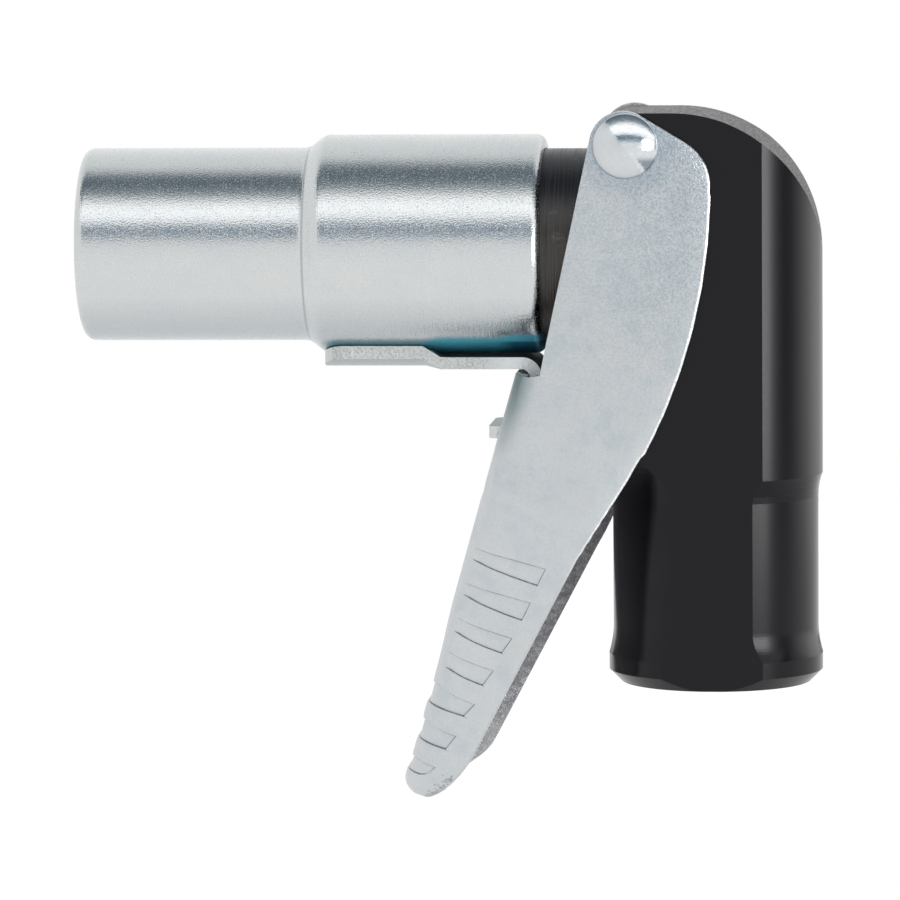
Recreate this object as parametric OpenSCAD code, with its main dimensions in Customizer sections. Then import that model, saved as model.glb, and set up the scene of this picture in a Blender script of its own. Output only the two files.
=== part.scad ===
// Right-angle locking tire chuck with a lever-operated sleeve and a 1/4 in NPT inlet.
// Millimetres. Z runs up the body, and the origin is the centre of the inlet's mouth.
// The barrel points toward -X. The lever turns on a rivet that lies along Y.

/* [Body] */
// Diameter of the bar that the body is turned from
body_d = 22; // [21:0.1:26]
// Distance across the two flats
flat_w = 19.4; // [19.2:0.1:20]
// Height of the body above the inlet's mouth
body_h = 58.7; // [58:0.1:62]
// Radius of the body's rounded top corner
top_r = 14.9; // [10:0.1:18]
// Diameter of the turned grip waist
waist_d = 21.1; // [20.4:0.1:21.6]
// Height of the waist's lower shoulder
waist_lo = 2.9; // [2:0.1:6]
// Height of the waist's upper shoulder
waist_hi = 21.5; // [18:0.1:26]
// Fillet radius at the waist's lower shoulder
waist_fillet_lo = 10; // [2:0.1:14]
// Fillet radius at the waist's upper shoulder
waist_fillet_hi = 6.5; // [2:0.1:10]
// Chamfer around the base
base_chamfer = 1.25; // [0.3:0.05:2]
// Wall of the body around the rivet's bore
rivet_wall = 1.15; // [0.8:0.05:2]
// Distance from the body's axis to the rivet's axis
pivot_offset = 8.5; // [8:0.1:9]

/* [Inlet] */
// Minor diameter of the 1/4 in NPT thread at the mouth
port_d = 11.36; // [11:0.02:12]
// Major diameter of the thread, where the mouth is countersunk
port_mouth_d = 13.9; // [13:0.1:15]
// Depth of the threaded bore
port_depth = 14; // [10:0.5:18]
// Diameter of the air passage up the body
passage_d = 7; // [4:0.1:9]

/* [Barrel] */
// Distance from the body's top down to the barrel's axis
barrel_drop = 13.7; // [13:0.1:14]
// Diameter of the spigot that is fixed in the body
spigot_d = 14; // [12:0.1:14.4]
// Length of the spigot
spigot_len = 7.2; // [6:0.1:9]
// Diameter of the neck that the sleeve slides on
neck_d = 19.5; // [19:0.05:19.6]
// Length of the neck in front of the body
neck_len = 14.8; // [12:0.1:16]
// Diameter of the tube that carries the jaws
tube_d = 12.6; // [12:0.1:13]
// Bore of the tube in front of the seal, which takes the valve stem
mouth_d = 8.6; // [8.4:0.05:9]
// Bore of the air chamber behind the seal
chamber_d = 6.4; // [6:0.1:7]
// Bore through the seat that the poppet closes
seat_d = 3.4; // [3:0.1:3.8]
// Thickness of the seat
seat_t = 1.9; // [1.2:0.1:2.5]
// Distance from the seat to the front of the tube
tube_front = 17.1; // [16.6:0.1:18]

/* [Sleeve] */
// Distance from the body's axis to the sleeve's nose at rest
sleeve_nose = 64.9; // [64.8:0.1:66]
// Outer diameter of the sleeve's rear part
sleeve_rear_d = 22.44; // [22.2:0.02:23]
// Wall of the sleeve's front part
sleeve_wall = 1.36; // [1:0.02:1.5]
// Length of the sleeve
sleeve_len = 47.6; // [46:0.1:48.5]
// Length of the front part, up to the step
sleeve_front_len = 22.9; // [20:0.1:24]
// Length of the smooth step between the two parts
step_len = 2.5; // [2:0.1:5]
// Corner radius at the nose
nose_r = 1.05; // [0.3:0.05:1.3]
// Radius of the rolled lip at the rear
lip_r = 0.95; // [0.3:0.05:1.2]
// How far the barrel's tube lies inside the nose
nose_recess = 1.5; // [0.5:0.1:2.5]
// Length of the cam ring in the nose
cam_len = 13.8; // [12:0.1:15]
// Wall of the cam ring behind its cone
cam_wall = 1.7; // [1.4:0.05:2]

/* [Jaws] */
// Width of one jaw
jaw_w = 5.4; // [4.5:0.1:5.6]
// Length of one jaw
jaw_len = 9.6; // [9:0.1:10]
// Diameter between the closed jaws' teeth
jaw_bite_d = 7.2; // [6.8:0.05:7.4]
// Depth of the teeth, which match a 32 threads per inch stem
tooth_depth = 0.42; // [0.2:0.02:0.5]
// How far a closed jaw's pad stands out of the tube at its rear edge
pad_rise = 0.45; // [0.35:0.05:0.55]
// Length of the pad that the cam presses
pad_len = 4; // [3:0.1:4.4]
// Rise of the cam's cone per millimetre
cam_slope = 0.12; // [0.08:0.01:0.14]

/* [Check valve] */
// Diameter of the pin that opens the tire's valve core
pin_d = 2.4; // [2:0.1:2.6]
// How far the pin stands out of the seal
pin_reach = 2.5; // [1.5:0.1:3]
// Diameter of the poppet's head
head_d = 5.2; // [4.8:0.1:5.6]
// Length of the poppet's head
head_len = 2.2; // [1.5:0.1:3]
// Length of the tail that guides the poppet's spring
tail_len = 4.2; // [3:0.1:5]
// Thickness of the rubber valve seal
seal_t = 3.4; // [3:0.1:3.6]
// Diameter of the hole in the rubber valve seal
seal_hole_d = 3.8; // [3.4:0.1:4.4]
// Length of the poppet's spring as fitted
poppet_spring_len = 10.3; // [8:0.1:12]
// Length of the plug behind that spring
plug_len = 2.8; // [2:0.1:3.5]

/* [Lever] */
// Thickness of the lever's sheet
sheet_t = 1.2; // [1:0.05:1.3]
// Gap between each cheek's inner face and the body's flat
cheek_gap = 0.25; // [0.2:0.05:0.4]
// Distance from the rivet to the web's outer face
web_offset = 4.6; // [4.4:0.05:5]
// Lean of the web from the vertical at rest
web_angle = 16; // [15:0.1:17]
// Outer radius of the bends between web and cheeks
bend_r = 3.6; // [3:0.1:4]
// Distance from the rivet down to the web's top edge
web_top = 25.6; // [25.4:0.05:26.4]
// Distance from the rivet down to where the lever narrows
crease_z = 38; // [36:0.5:40]
// Distance from the rivet down to the lever's tip
tip_z = 70.9; // [70:0.1:74]
// Width of the lever's tip
tip_w = 13; // [11:0.1:15]
// Corner radius of the tip, seen along the web's normal
tip_corner_r = 4; // [2:0.1:5]
// How much deeper the far flange is than the near one
far_flange_extra = 1.1; // [0:0.1:1.5]
// Number of stamped grip grooves
groove_count = 7; // [4:1:7]
// Distance between the grip grooves
groove_pitch = 3.8; // [3.4:0.05:3.8]
// Height of one grip groove
groove_h = 1.62; // [1:0.02:2]
// Depth of the grip grooves
groove_depth = 0.35; // [0.2:0.05:0.5]
// Distance from a groove's end to the flange's edge
groove_margin = 2.6; // [1.5:0.1:3.5]

/* [Rivet] */
// Diameter of the pivot rivet's shank
rivet_d = 4; // [3.6:0.05:4.2]
// Diameter of its domed heads
rivet_head_d = 6.6; // [6:0.1:7.2]
// Height of its domed heads
rivet_head_h = 1.45; // [0.8:0.05:2]

/* [Strap] */
// Width of the hook strap
strap_w = 10; // [8:0.1:11]
// Thickness of the hook strap
strap_t = 1.22; // [1:0.02:1.4]
// Distance from the rivet's axis to the strap's left end, along X
strap_end = 31.4; // [30:0.1:31.8]
// Length of the part that is formed round the sleeve
saddle_len = 10.2; // [8:0.1:12]
// Length of the joggle between the formed part and the flat part
joggle_len = 1.9; // [1:0.1:3]
// Inner radius of the strap's bends
strap_bend = 0.8; // [0.6:0.05:1]
// Distance from the rivet down to the tail tab's upper face
tab_drop = 28.9; // [28.5:0.1:29.3]
// How far the tail tab stands out of the web
tab_reach = 1.4; // [0.6:0.05:2]

/* [Springs] */
// Wire diameter of the sleeve's spring
sleeve_wire = 1.1; // [0.8:0.05:1.2]
// Turns of the sleeve's spring
sleeve_turns = 6; // [4:1:7]
// Wire diameter of the poppet's spring
poppet_wire = 0.45; // [0.3:0.05:0.6]
// Turns of the poppet's spring
poppet_turns = 7; // [5:1:9]

/* [Clearances] */
// Radial clearance of sliding and turning fits
run_fit = 0.05; // [0.02:0.01:0.08]
// Radial clearance of pieces that are fixed in a bore
fixed_fit = 0.02; // [0.01:0.01:0.03]
// Gap at rest between pieces that meet end to end and move apart
end_gap = 0.1; // [0.05:0.01:0.12]

/* [Hidden] */
$fn = 96;
eps = 0.01;
far = 60;
over = 2;
edge_c = 0.4;
fine_c = 0.2;

// Body
body_r = body_d / 2;
waist_r = waist_d / 2;
flat_y = flat_w / 2;
rivet_r = rivet_d / 2;
rivet_bore_r = rivet_r + run_fit;
pivot_x = -pivot_offset;
block_corner_r = rivet_bore_r + rivet_wall;
pivot_z = body_h - block_corner_r;
face_x = pivot_x - block_corner_r;
barrel_z = body_h - barrel_drop;

// Places along the barrel, as distances from the body's axis toward the nose
body_face = -face_x;
spigot_end = body_face - spigot_len;
neck_front = body_face + neck_len;
tube_end = sleeve_nose - nose_recess;
seat_front = tube_end - tube_front;
seat_rear = seat_front - seat_t;
sleeve_rear = sleeve_nose - sleeve_len;
step_front = sleeve_nose - sleeve_front_len;
step_rear = step_front - step_len;

// Barrel
neck_r = neck_d / 2;
tube_r = tube_d / 2;
spigot_r = spigot_d / 2;
spigot_end_gap = 0.3;
chamber_r = chamber_d / 2;
mouth_r = mouth_d / 2;
oring_wire_r = 0.85;
oring_groove_r = spigot_r - 2 * oring_wire_r;
oring_groove_half = oring_wire_r + 0.1;
oring_z = spigot_end + spigot_len * 0.42;
ring_t = 0.8;
ring_groove_depth = 0.5;
ring_lip = 1.1;
ring_gap = 2.8;
washer_t = 1.2;
washer_gap = 0.2;
ring_front = tube_end - edge_c;
ring_rear = ring_front - ring_t;
washer_front = ring_rear - run_fit;
washer_rear = washer_front - washer_t;

// Sleeve and cam ring
cam_gap = 0.08;
pad_r = tube_r + pad_rise;
cone_r = pad_r + cam_gap;
front_bore_r = cone_r + cam_wall + fixed_fit;
front_r = front_bore_r + sleeve_wall;
rear_r = sleeve_rear_d / 2;
sleeve_fit = 0.08;
sleeve_bore_r = neck_r + sleeve_fit;
spring_seat = step_rear - 0.4;
spring_gap = 0.13;
bore_chamfer = 0.3;
cam_front = washer_rear - end_gap;
cam_rear = cam_front - cam_len;
cam_land = 1;

// Jaws
jaw_count = 3;
jaw_gap = 0.1;
jaw_wall = 1;
jaw_front = washer_rear - jaw_wall;
jaw_rear = jaw_front - jaw_len;
pad_setback = 1.8;
pad_rear = jaw_rear + pad_setback;
bite_r = jaw_bite_d / 2;
bite_lead = 0.9;
tooth_pitch = 25.4 / 32;
tooth_edges = 2 * floor(jaw_len / tooth_pitch) - 3;
expander_wire_r = 0.33;
expander_r = mouth_r + 0.28;
expander_z = jaw_front - 1.2;
expander_fit = 0.08;
expander_half = expander_wire_r + expander_fit;
expander_groove_r = expander_r + 1.05;
expander_gap = 1.2;

// Check valve
seal_flange_t = 1.1;
seal_flange_r = mouth_r + 0.6;
seal_rear = seat_front + run_fit;
seal_front = seal_rear + seal_t;
seal_flange_end = seal_rear + seal_flange_t;
seal_slot_end = seal_flange_end + run_fit;
seal_c = 0.45;
poppet_oring_r = 0.45;
boss_r = 1.65;
tail_r = 0.9;
pin_c = 0.3;
head_front = seat_rear - run_fit - 2 * poppet_oring_r;
head_rear = head_front - head_len;
boss_end = head_front + 2 * poppet_oring_r;
plug_front = head_rear - poppet_spring_len;
plug_rear = plug_front - plug_len;
pin_tip = seal_front + pin_reach;
plug_hole_r = 1.4;
plug_slot = [1, 0.9];
poppet_coil_r = 2.25;

// Lever, in its own frame: the rivet is the origin, z runs up the web and x away from it
cheek_in = flat_y + cheek_gap;
cheek_out = cheek_in + sheet_t;
web_out = -web_offset;
web_in = -web_offset + sheet_t;
tip_half = tip_w / 2;
top_cheek_r = 3.6;
top_cheek_x = -0.25;
channel_rise = 8;
crown_slope = 17.6;
crown_end = [6, 1.87];
corner_r = 5;
back_mid = [11.6, -17.6];
back_top_z = -3;
back_r = 58;
back_reach = 14;
handle_top = [9.54, -32.1];
handle_knee = [6.54, -42.3];
handle_end = [1.79, -64.8];
front_top_x = -2;
notch_r = 0.9;
tip_r = 2.2;
tip_centre = [web_out + tip_r, tip_r - tip_z];
tip_knee = [-0.15, 1.5 - tip_z];
tip_turn = 75;
tip_floor_rise = 6;
handle_taper = atan((cheek_out - tip_half) / (tip_z - crease_z));
groove_first = 44;
slot_margin = 0.4;
slot_rise = 0.7;
slot_h = 3.9;

// Strap, in the plane y = 0
strap_half = strap_w / 2;
strap_corner_r = 2;
tab_corner_r = 0.9;
saddle_gap = 0.1;
saddle_r = rear_r + saddle_gap;
strap_bottom = barrel_z - saddle_r - strap_t;
strap_top = strap_bottom + strap_t;
leg_gap = 0.2;
tab_top = pivot_z - tab_drop;
leg_front = web_in + leg_gap;
strap_left = pivot_x - strap_end;
flat_left = strap_left + saddle_len + joggle_len;
bend_out = strap_bend + strap_t;
bend_z = strap_top - bend_out;
tail_z = tab_top + strap_bend;

// Points of an arc round c, from angle a0 to angle a1
function arc(c, r, a0, a1, n = 16) = [
    for (i = [0:n]) c + r * [cos(a0 + (a1 - a0) * i / n), sin(a0 + (a1 - a0) * i / n)]
];

// x in the part's frame of a line along the web at distance dx from the rivet, at height z
function along_web(dx, z) = pivot_x + (dx + (z - pivot_z) * sin(web_angle)) / cos(web_angle);

bend_x = along_web(leg_front - strap_bend, bend_z);
tail_x = along_web(leg_front - strap_bend, tail_z);

// Puts z along the barrel's axis toward the nose, and x upward
module along_barrel() {
    translate([0, 0, barrel_z])
        rotate([0, -90, 0])
            children();
}

module on_lever() {
    translate([pivot_x, 0, pivot_z])
        rotate([0, web_angle, 0])
            children();
}

// Extrudes an outline of x and z over the width from y0 to y1
module across(y0, y1) {
    translate([0, y1, 0])
        rotate([90, 0, 0])
            linear_extrude(height = y1 - y0)
                children();
}

module turned(points) {
    rotate_extrude()
        polygon(points);
}

module ring(r_in, r_out, z0, z1) {
    turned([[r_in, z0], [r_out, z0], [r_out, z1], [r_in, z1]]);
}

module wire_ring(r, wire_r, z) {
    translate([0, 0, z])
        rotate_extrude()
            translate([r, 0])
                circle(r = wire_r, $fn = 32);
}

// Helical spring between z0 and z1, with closed flat coils at both ends
module coil(r, wire, z0, z1, turns) {
    sides = 8;
    per_turn = 18;
    rings = turns * per_turn;
    rise = z1 - z0 - wire;
    function lift(t) = let (e = 0.9 / turns)
        t < e ? t / e * wire * 0.5 :
        t > 1 - e ? rise - (1 - t) / e * wire * 0.5 :
        wire * 0.5 + (rise - wire) * (t - e) / (1 - 2 * e);
    points = [
        for (i = [0:rings], k = [0:sides - 1])
            let (a = 360 * i / per_turn, b = 360 * k / sides, rr = r + wire / 2 * cos(b))
                [rr * cos(a), rr * sin(a), z0 + wire / 2 + lift(i / rings) + wire / 2 * sin(b)]
    ];
    faces = concat(
        [[for (k = [0:sides - 1]) k]],
        [[for (k = [sides - 1:-1:0]) rings * sides + k]],
        [for (i = [0:rings - 1], k = [0:sides - 1])
            let (n = (k + 1) % sides) [i * sides + n, i * sides + k, (i + 1) * sides + k]],
        [for (i = [0:rings - 1], k = [0:sides - 1])
            let (n = (k + 1) % sides) [i * sides + n, (i + 1) * sides + k, (i + 1) * sides + n]]
    );
    polyhedron(points = points, faces = faces, convexity = 10);
}

// ---- Body ----

module body_side() {
    polygon(concat(
        [[-body_r - over, 0], [body_r, 0]],
        arc([body_r - top_r, body_h - top_r], top_r, 0, 90, 32),
        arc([pivot_x, pivot_z], block_corner_r, 90, 180, 16),
        [[face_x, waist_hi - eps], [-body_r - over, waist_hi - eps]]
    ));
}

// Angle that a fillet of radius r turns through between the waist and a shoulder
function fillet_turn(r) = acos((r - body_r + waist_r) / r);

module waist_cut() {
    turn_lo = fillet_turn(waist_fillet_lo);
    turn_hi = fillet_turn(waist_fillet_hi);
    centre_lo = [waist_r + waist_fillet_lo, waist_lo + waist_fillet_lo * sin(turn_lo)];
    centre_hi = [waist_r + waist_fillet_hi, waist_hi - waist_fillet_hi * sin(turn_hi)];
    turned(concat(
        [[far, waist_lo]],
        arc(centre_lo, waist_fillet_lo, 180 + turn_lo, 180, 10),
        arc(centre_hi, waist_fillet_hi, 180, 90, 16),
        [[far, centre_hi[1] + waist_fillet_hi]]
    ));
}

module body() {
    color("#2b2b30")
        difference() {
            intersection() {
                across(-flat_y, flat_y)
                    body_side();
                union() {
                    cylinder(r = body_r, h = body_h);
                    translate([face_x, -flat_y, waist_hi - eps])
                        cube([-face_x, flat_w, body_h]);
                }
            }
            waist_cut();
            turned([
                [body_r - base_chamfer, -eps], [body_r + over, -eps],
                [body_r + over, base_chamfer + over], [body_r, base_chamfer]
            ]);
            translate([0, 0, -eps])
                cylinder(d = port_d, h = port_depth + eps);
            turned([[0, -eps], [port_mouth_d / 2, -eps], [0, port_mouth_d / 2]]);
            translate([0, 0, port_depth - eps])
                cylinder(d = passage_d, h = barrel_z - port_depth);
            translate([0, 0, barrel_z])
                sphere(d = passage_d);
            along_barrel() {
                cylinder(r = chamber_r, h = body_face);
                translate([0, 0, spigot_end - spigot_end_gap])
                    cylinder(r = spigot_r + fixed_fit, h = spigot_len + over);
            }
            translate([pivot_x, 0, pivot_z])
                rotate([90, 0, 0])
                    cylinder(r = rivet_bore_r, h = flat_w + over, center = true);
        }
}

// ---- Barrel and the pieces fixed in it ----

module barrel() {
    color("#5d6063")
        along_barrel()
            difference() {
                turned([
                    [chamber_r, spigot_end], [spigot_r - edge_c, spigot_end],
                    [spigot_r, spigot_end + edge_c],
                    [spigot_r, oring_z - oring_groove_half],
                    [oring_groove_r, oring_z - oring_groove_half],
                    [oring_groove_r, oring_z + oring_groove_half],
                    [spigot_r, oring_z + oring_groove_half],
                    [spigot_r, body_face], [neck_r, body_face],
                    [neck_r, neck_front - edge_c], [neck_r - edge_c, neck_front],
                    [tube_r, neck_front], [tube_r, ring_rear],
                    [tube_r - ring_groove_depth, ring_rear],
                    [tube_r - ring_groove_depth, ring_front],
                    [tube_r, ring_front], [tube_r, tube_end - fine_c],
                    [tube_r - fine_c, tube_end], [mouth_r + edge_c, tube_end],
                    [mouth_r, tube_end - edge_c],
                    [mouth_r, expander_z + expander_half],
                    [expander_groove_r, expander_z + expander_half],
                    [expander_groove_r, expander_z - expander_half],
                    [mouth_r, expander_z - expander_half],
                    [mouth_r, seal_slot_end],
                    [seal_flange_r + run_fit, seal_slot_end],
                    [seal_flange_r + run_fit, seat_front],
                    [seat_d / 2, seat_front], [seat_d / 2, seat_rear],
                    [chamber_r, seat_rear]
                ]);
                for (i = [0:jaw_count - 1])
                    rotate([0, 0, 360 / jaw_count * i])
                        translate([0, -jaw_w / 2 - run_fit, jaw_rear - jaw_gap])
                            cube([far, jaw_w + 2 * run_fit, jaw_len + 2 * jaw_gap]);
            }
}

module barrel_seal() {
    color("#161616")
        along_barrel()
            wire_ring(spigot_r - oring_wire_r, oring_wire_r, oring_z);
}

module nose_washer() {
    color("silver")
        along_barrel()
            ring(tube_r + run_fit, front_bore_r - washer_gap, washer_rear, washer_front);
}

module retaining_ring() {
    color("#3a3a3c")
        along_barrel()
            difference() {
                ring(tube_r - ring_groove_depth + fixed_fit, tube_r + ring_lip,
                    ring_rear + fixed_fit, ring_front - fixed_fit);
                rotate([0, 0, 180])
                    translate([0, -ring_gap / 2, ring_rear - over])
                        cube([far, ring_gap, ring_t + 2 * over]);
            }
}

module expander_ring() {
    color("#8d9093")
        along_barrel()
            difference() {
                wire_ring(expander_r, expander_wire_r, expander_z);
                rotate([0, 0, 180])
                    translate([0, -expander_gap / 2, expander_z - over])
                        cube([far, expander_gap, 2 * over]);
            }
}

module valve_seal() {
    color("#1b1b1b")
        along_barrel()
            turned([
                [seal_hole_d / 2, seal_rear], [seal_flange_r, seal_rear],
                [seal_flange_r, seal_flange_end], [mouth_r - run_fit, seal_flange_end],
                [mouth_r - run_fit, seal_front - seal_c],
                [mouth_r - run_fit - seal_c, seal_front],
                [seal_hole_d / 2 + seal_c, seal_front],
                [seal_hole_d / 2, seal_front - seal_c]
            ]);
}

module spring_plug() {
    color("#c9a24a")
        along_barrel()
            difference() {
                ring(plug_hole_r, chamber_r - fixed_fit, plug_rear, plug_front);
                translate([-far / 2, -plug_slot[0] / 2, plug_rear - over])
                    cube([far, plug_slot[0], plug_slot[1] + over]);
            }
}

// ---- Sleeve and what moves with it ----

// Radius of the sleeve's smooth step, from 0 at its rear to 1 at its front
function step_at(t) = rear_r + (front_r - rear_r) * (1 - cos(180 * t)) / 2;

module lock_sleeve() {
    color("#b9bdc1")
        along_barrel()
            turned(concat(
                [[sleeve_bore_r, sleeve_rear]],
                arc([rear_r - lip_r, sleeve_rear + lip_r], lip_r, -90, 0, 10),
                [for (i = [0:12]) [step_at(i / 12), step_rear + step_len * i / 12]],
                arc([front_r - nose_r, sleeve_nose - nose_r], nose_r, 0, 90, 10),
                [
                    [front_bore_r + bore_chamfer, sleeve_nose],
                    [front_bore_r, sleeve_nose - bore_chamfer],
                    [front_bore_r, spring_seat], [sleeve_bore_r, spring_seat]
                ]
            ));
}

module cam_ring() {
    cone_end = cam_front - cam_land;
    color("#8f9396")
        along_barrel()
            turned([
                [cone_r, cam_rear], [front_bore_r - fixed_fit, cam_rear],
                [front_bore_r - fixed_fit, cam_front],
                [cone_r + cam_slope * (cone_end - pad_rear), cam_front],
                [cone_r + cam_slope * (cone_end - pad_rear), cone_end],
                [cone_r, pad_rear]
            ]);
}

module sleeve_spring() {
    color("#9a9da0")
        along_barrel()
            coil(sleeve_bore_r - sleeve_wire / 2 - spring_gap, sleeve_wire,
                neck_front, spring_seat, sleeve_turns);
}

module strap_plan() {
    hull() {
        for (side = [-1, 1])
            translate([strap_left + strap_corner_r, side * (strap_half - strap_corner_r)])
                circle(r = strap_corner_r);
        translate([strap_left + far, -strap_half])
            square([eps, strap_w]);
    }
}

module saddle_section() {
    intersection() {
        difference() {
            circle(r = saddle_r + strap_t);
            circle(r = saddle_r);
        }
        translate([-saddle_r - 2 * strap_t, -strap_half])
            square([saddle_r + strap_t, strap_w]);
    }
}

module hook_strap() {
    saddle_right = strap_left + saddle_len;
    color("#a9aeb2") {
        // Formed round the sleeve's underside
        intersection() {
            along_barrel()
                translate([0, 0, -saddle_right])
                    linear_extrude(height = saddle_len)
                        saddle_section();
            linear_extrude(height = barrel_z)
                strap_plan();
        }
        // Joggle from the formed part to the flat part
        difference() {
            hull() {
                along_barrel()
                    translate([0, 0, -saddle_right - eps])
                        linear_extrude(height = eps)
                            saddle_section();
                translate([flat_left, -strap_half, strap_bottom])
                    cube([eps, strap_w, strap_t]);
            }
            along_barrel()
                cylinder(r = saddle_r, h = 2 * far, center = true);
        }
        // Flat part, the bend and the leg inside the web, as one bent strip
        across(-strap_half, strap_half)
            polygon(concat(
                [[flat_left, strap_bottom], [flat_left, strap_top]],
                arc([bend_x, bend_z], bend_out, 90, -web_angle, 16),
                arc([tail_x, tail_z], bend_out, -web_angle, -90, 12),
                arc([tail_x, tail_z], strap_bend, -90, -web_angle, 10),
                arc([bend_x, bend_z], strap_bend, -web_angle, 90, 12)
            ));
        // Tail tab through the web's slot
        tab_x = along_web(web_out, tab_top) - tab_reach;
        translate([0, 0, tab_top - strap_t])
            linear_extrude(height = strap_t)
                hull() {
                    for (side = [-1, 1])
                        translate([tab_x + tab_corner_r, side * (strap_half - tab_corner_r)])
                            circle(r = tab_corner_r);
                    translate([tail_x, -strap_half])
                        square([eps, strap_w]);
                }
    }
}

// ---- Lever ----

function back_arc() = let (
        c = [back_mid[0] - back_r, back_mid[1]],
        a1 = asin((handle_top[1] - c[1]) / back_r)
    ) arc(c, back_r, asin((back_top_z - c[1]) / back_r), a1, 14);

function corner_centre() = crown_end - corner_r * [sin(crown_slope), cos(crown_slope)];

// Side outline of the lever; extra deepens the handle's flange
function lever_side(extra) = concat(
    [[web_out, -web_top]],
    arc([front_top_x - notch_r, -web_top + notch_r], notch_r, -90, 0, 6),
    arc([top_cheek_x, 0], top_cheek_r, 180, 90 - crown_slope, 16),
    arc(corner_centre(), corner_r, 90 - crown_slope, 8, 10),
    back_arc(),
    [handle_knee + [extra, 0], handle_end + [extra, 0]],
    [tip_knee],
    arc(tip_centre, tip_r, -tip_turn, -180, 10)
);

// Front outline of the lever's tip, as y and z, with rounded corners
function tip_front() = let (
        half = tip_half + tip_corner_r * tan(handle_taper),
        y = half - tip_corner_r,
        z = tip_corner_r - tip_z
    ) concat(
        [[-far, far]],
        arc([-y, z], tip_corner_r, 180, 270, 12),
        arc([y, z], tip_corner_r, 270, 360, 12),
        [[far, far]]
    );

// Side outline of the channel's hollow, which ends in the curled tip
function hollow_side() = concat(
    [[-far, far], [far, far], [far, tip_centre[1] + tip_floor_rise]],
    arc(tip_centre, tip_r - sheet_t, 0, -180, 12),
    [[-far, tip_centre[1]]]
);

// Section of the channel across the web, as x and y, with its front corners rounded
function channel_outline(half, x_front, x_back, r) = concat(
    [[x_back, -half]],
    arc([x_front + r, r - half], r, 270, 180, 10),
    arc([x_front + r, half - r], r, 180, 90, 10),
    [[x_back, half]]
);

// Straight channel form from z0 up to z1, shrunk by s on every skin
module channel_form(z0, z1, s) {
    translate([0, 0, z0])
        linear_extrude(height = z1 - z0)
            polygon(channel_outline(cheek_out - s, web_out + s, back_reach + s, bend_r - s));
}

// Flat cheeks above the web, in a block that is shrunk by s on every skin
module cheek_form(s) {
    half = cheek_out - s;
    translate([s - back_reach, -half, -web_top + notch_r])
        cube([2 * back_reach, 2 * half, web_top - notch_r + channel_rise]);
}

// Leans one side of the channel inward below the crease
module on_handle(side) {
    translate([0, side * cheek_out, -crease_z])
        rotate([-side * handle_taper, 0, 0])
            translate([0, -side * cheek_out, crease_z])
                children();
}

// Space on one side of the channel, below the crease
module handle_space(side) {
    translate([-far, side > 0 ? 0 : -far, -far - crease_z])
        cube([2 * far, far, far]);
}

module lever_sides() {
    intersection() {
        union() {
            across(-cheek_out, 0)
                polygon(lever_side(0));
            across(0, cheek_out)
                polygon(lever_side(far_flange_extra));
        }
        translate([-far, 0, 0])
            rotate([90, 0, 90])
                linear_extrude(height = 2 * far)
                    polygon(tip_front());
    }
}

// Cheeks, upper channel and the two leaning sides of the handle, shrunk by s on every skin
module lever_form(s) {
    cheek_form(s);
    channel_form(-crease_z, -web_top + notch_r, s);
    for (side = [-1, 1])
        intersection() {
            on_handle(side)
                channel_form(-far - crease_z, channel_rise, s);
            handle_space(side);
        }
}

module lever_shell() {
    difference() {
        lever_form(0);
        intersection() {
            lever_form(sheet_t);
            across(-far, far)
                polygon(hollow_side());
        }
    }
}

function groove_top(i) = groove_first + groove_pitch * i;

// x of the near flange's edge at distance z below the rivet
function flange_edge(z) = handle_knee[0]
    + (handle_end[0] - handle_knee[0]) * (z + handle_knee[1]) / (handle_knee[1] - handle_end[1]);

module groove(i, side) {
    difference() {
        translate([web_out - over, side > 0 ? 0 : -far, -groove_top(i) - groove_h])
            cube([flange_edge(groove_top(i)) - groove_margin - web_out + over, far, groove_h]);
        on_handle(side)
            channel_form(-far - crease_z, channel_rise, groove_depth);
    }
}

module lever() {
    slot_top = (pivot_z - tab_top) / cos(web_angle) - slot_rise;
    color("#aeb4b8")
        on_lever()
            difference() {
                intersection() {
                    lever_shell();
                    lever_sides();
                }
                for (i = [0:groove_count - 1], side = [-1, 1])
                    groove(i, side);
                // Slot for the strap's tail tab
                translate([web_out - over, -strap_half - slot_margin, -slot_top - slot_h])
                    cube([sheet_t + 2 * over, strap_w + 2 * slot_margin, slot_h]);
                rotate([90, 0, 0])
                    cylinder(r = rivet_r + fixed_fit / 2, h = far, center = true);
            }
}

module pivot_rivet() {
    dome_r = (rivet_head_d * rivet_head_d / 4 + rivet_head_h * rivet_head_h) / (2 * rivet_head_h);
    color("#d5d8da")
        on_lever() {
            rotate([90, 0, 0])
                cylinder(r = rivet_r, h = 2 * cheek_out, center = true);
            for (side = [-1, 1])
                intersection() {
                    translate([0, side * (cheek_out + rivet_head_h - dome_r), 0])
                        rotate([90, 0, 0])
                            sphere(r = dome_r);
                    translate([0, side * (cheek_out + rivet_head_h), 0])
                        rotate([90, 0, 0])
                            cylinder(d = rivet_head_d + over, h = 2 * rivet_head_h, center = true);
                }
        }
}

// ---- Jaws ----

// Toothed inner edge of a jaw, from its front to its rear
function teeth() = [
    for (i = [0:tooth_edges])
        [bite_r + (i % 2 == 0 ? tooth_depth : 0), jaw_front - bite_lead - tooth_pitch / 2 * i]
];

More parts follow.
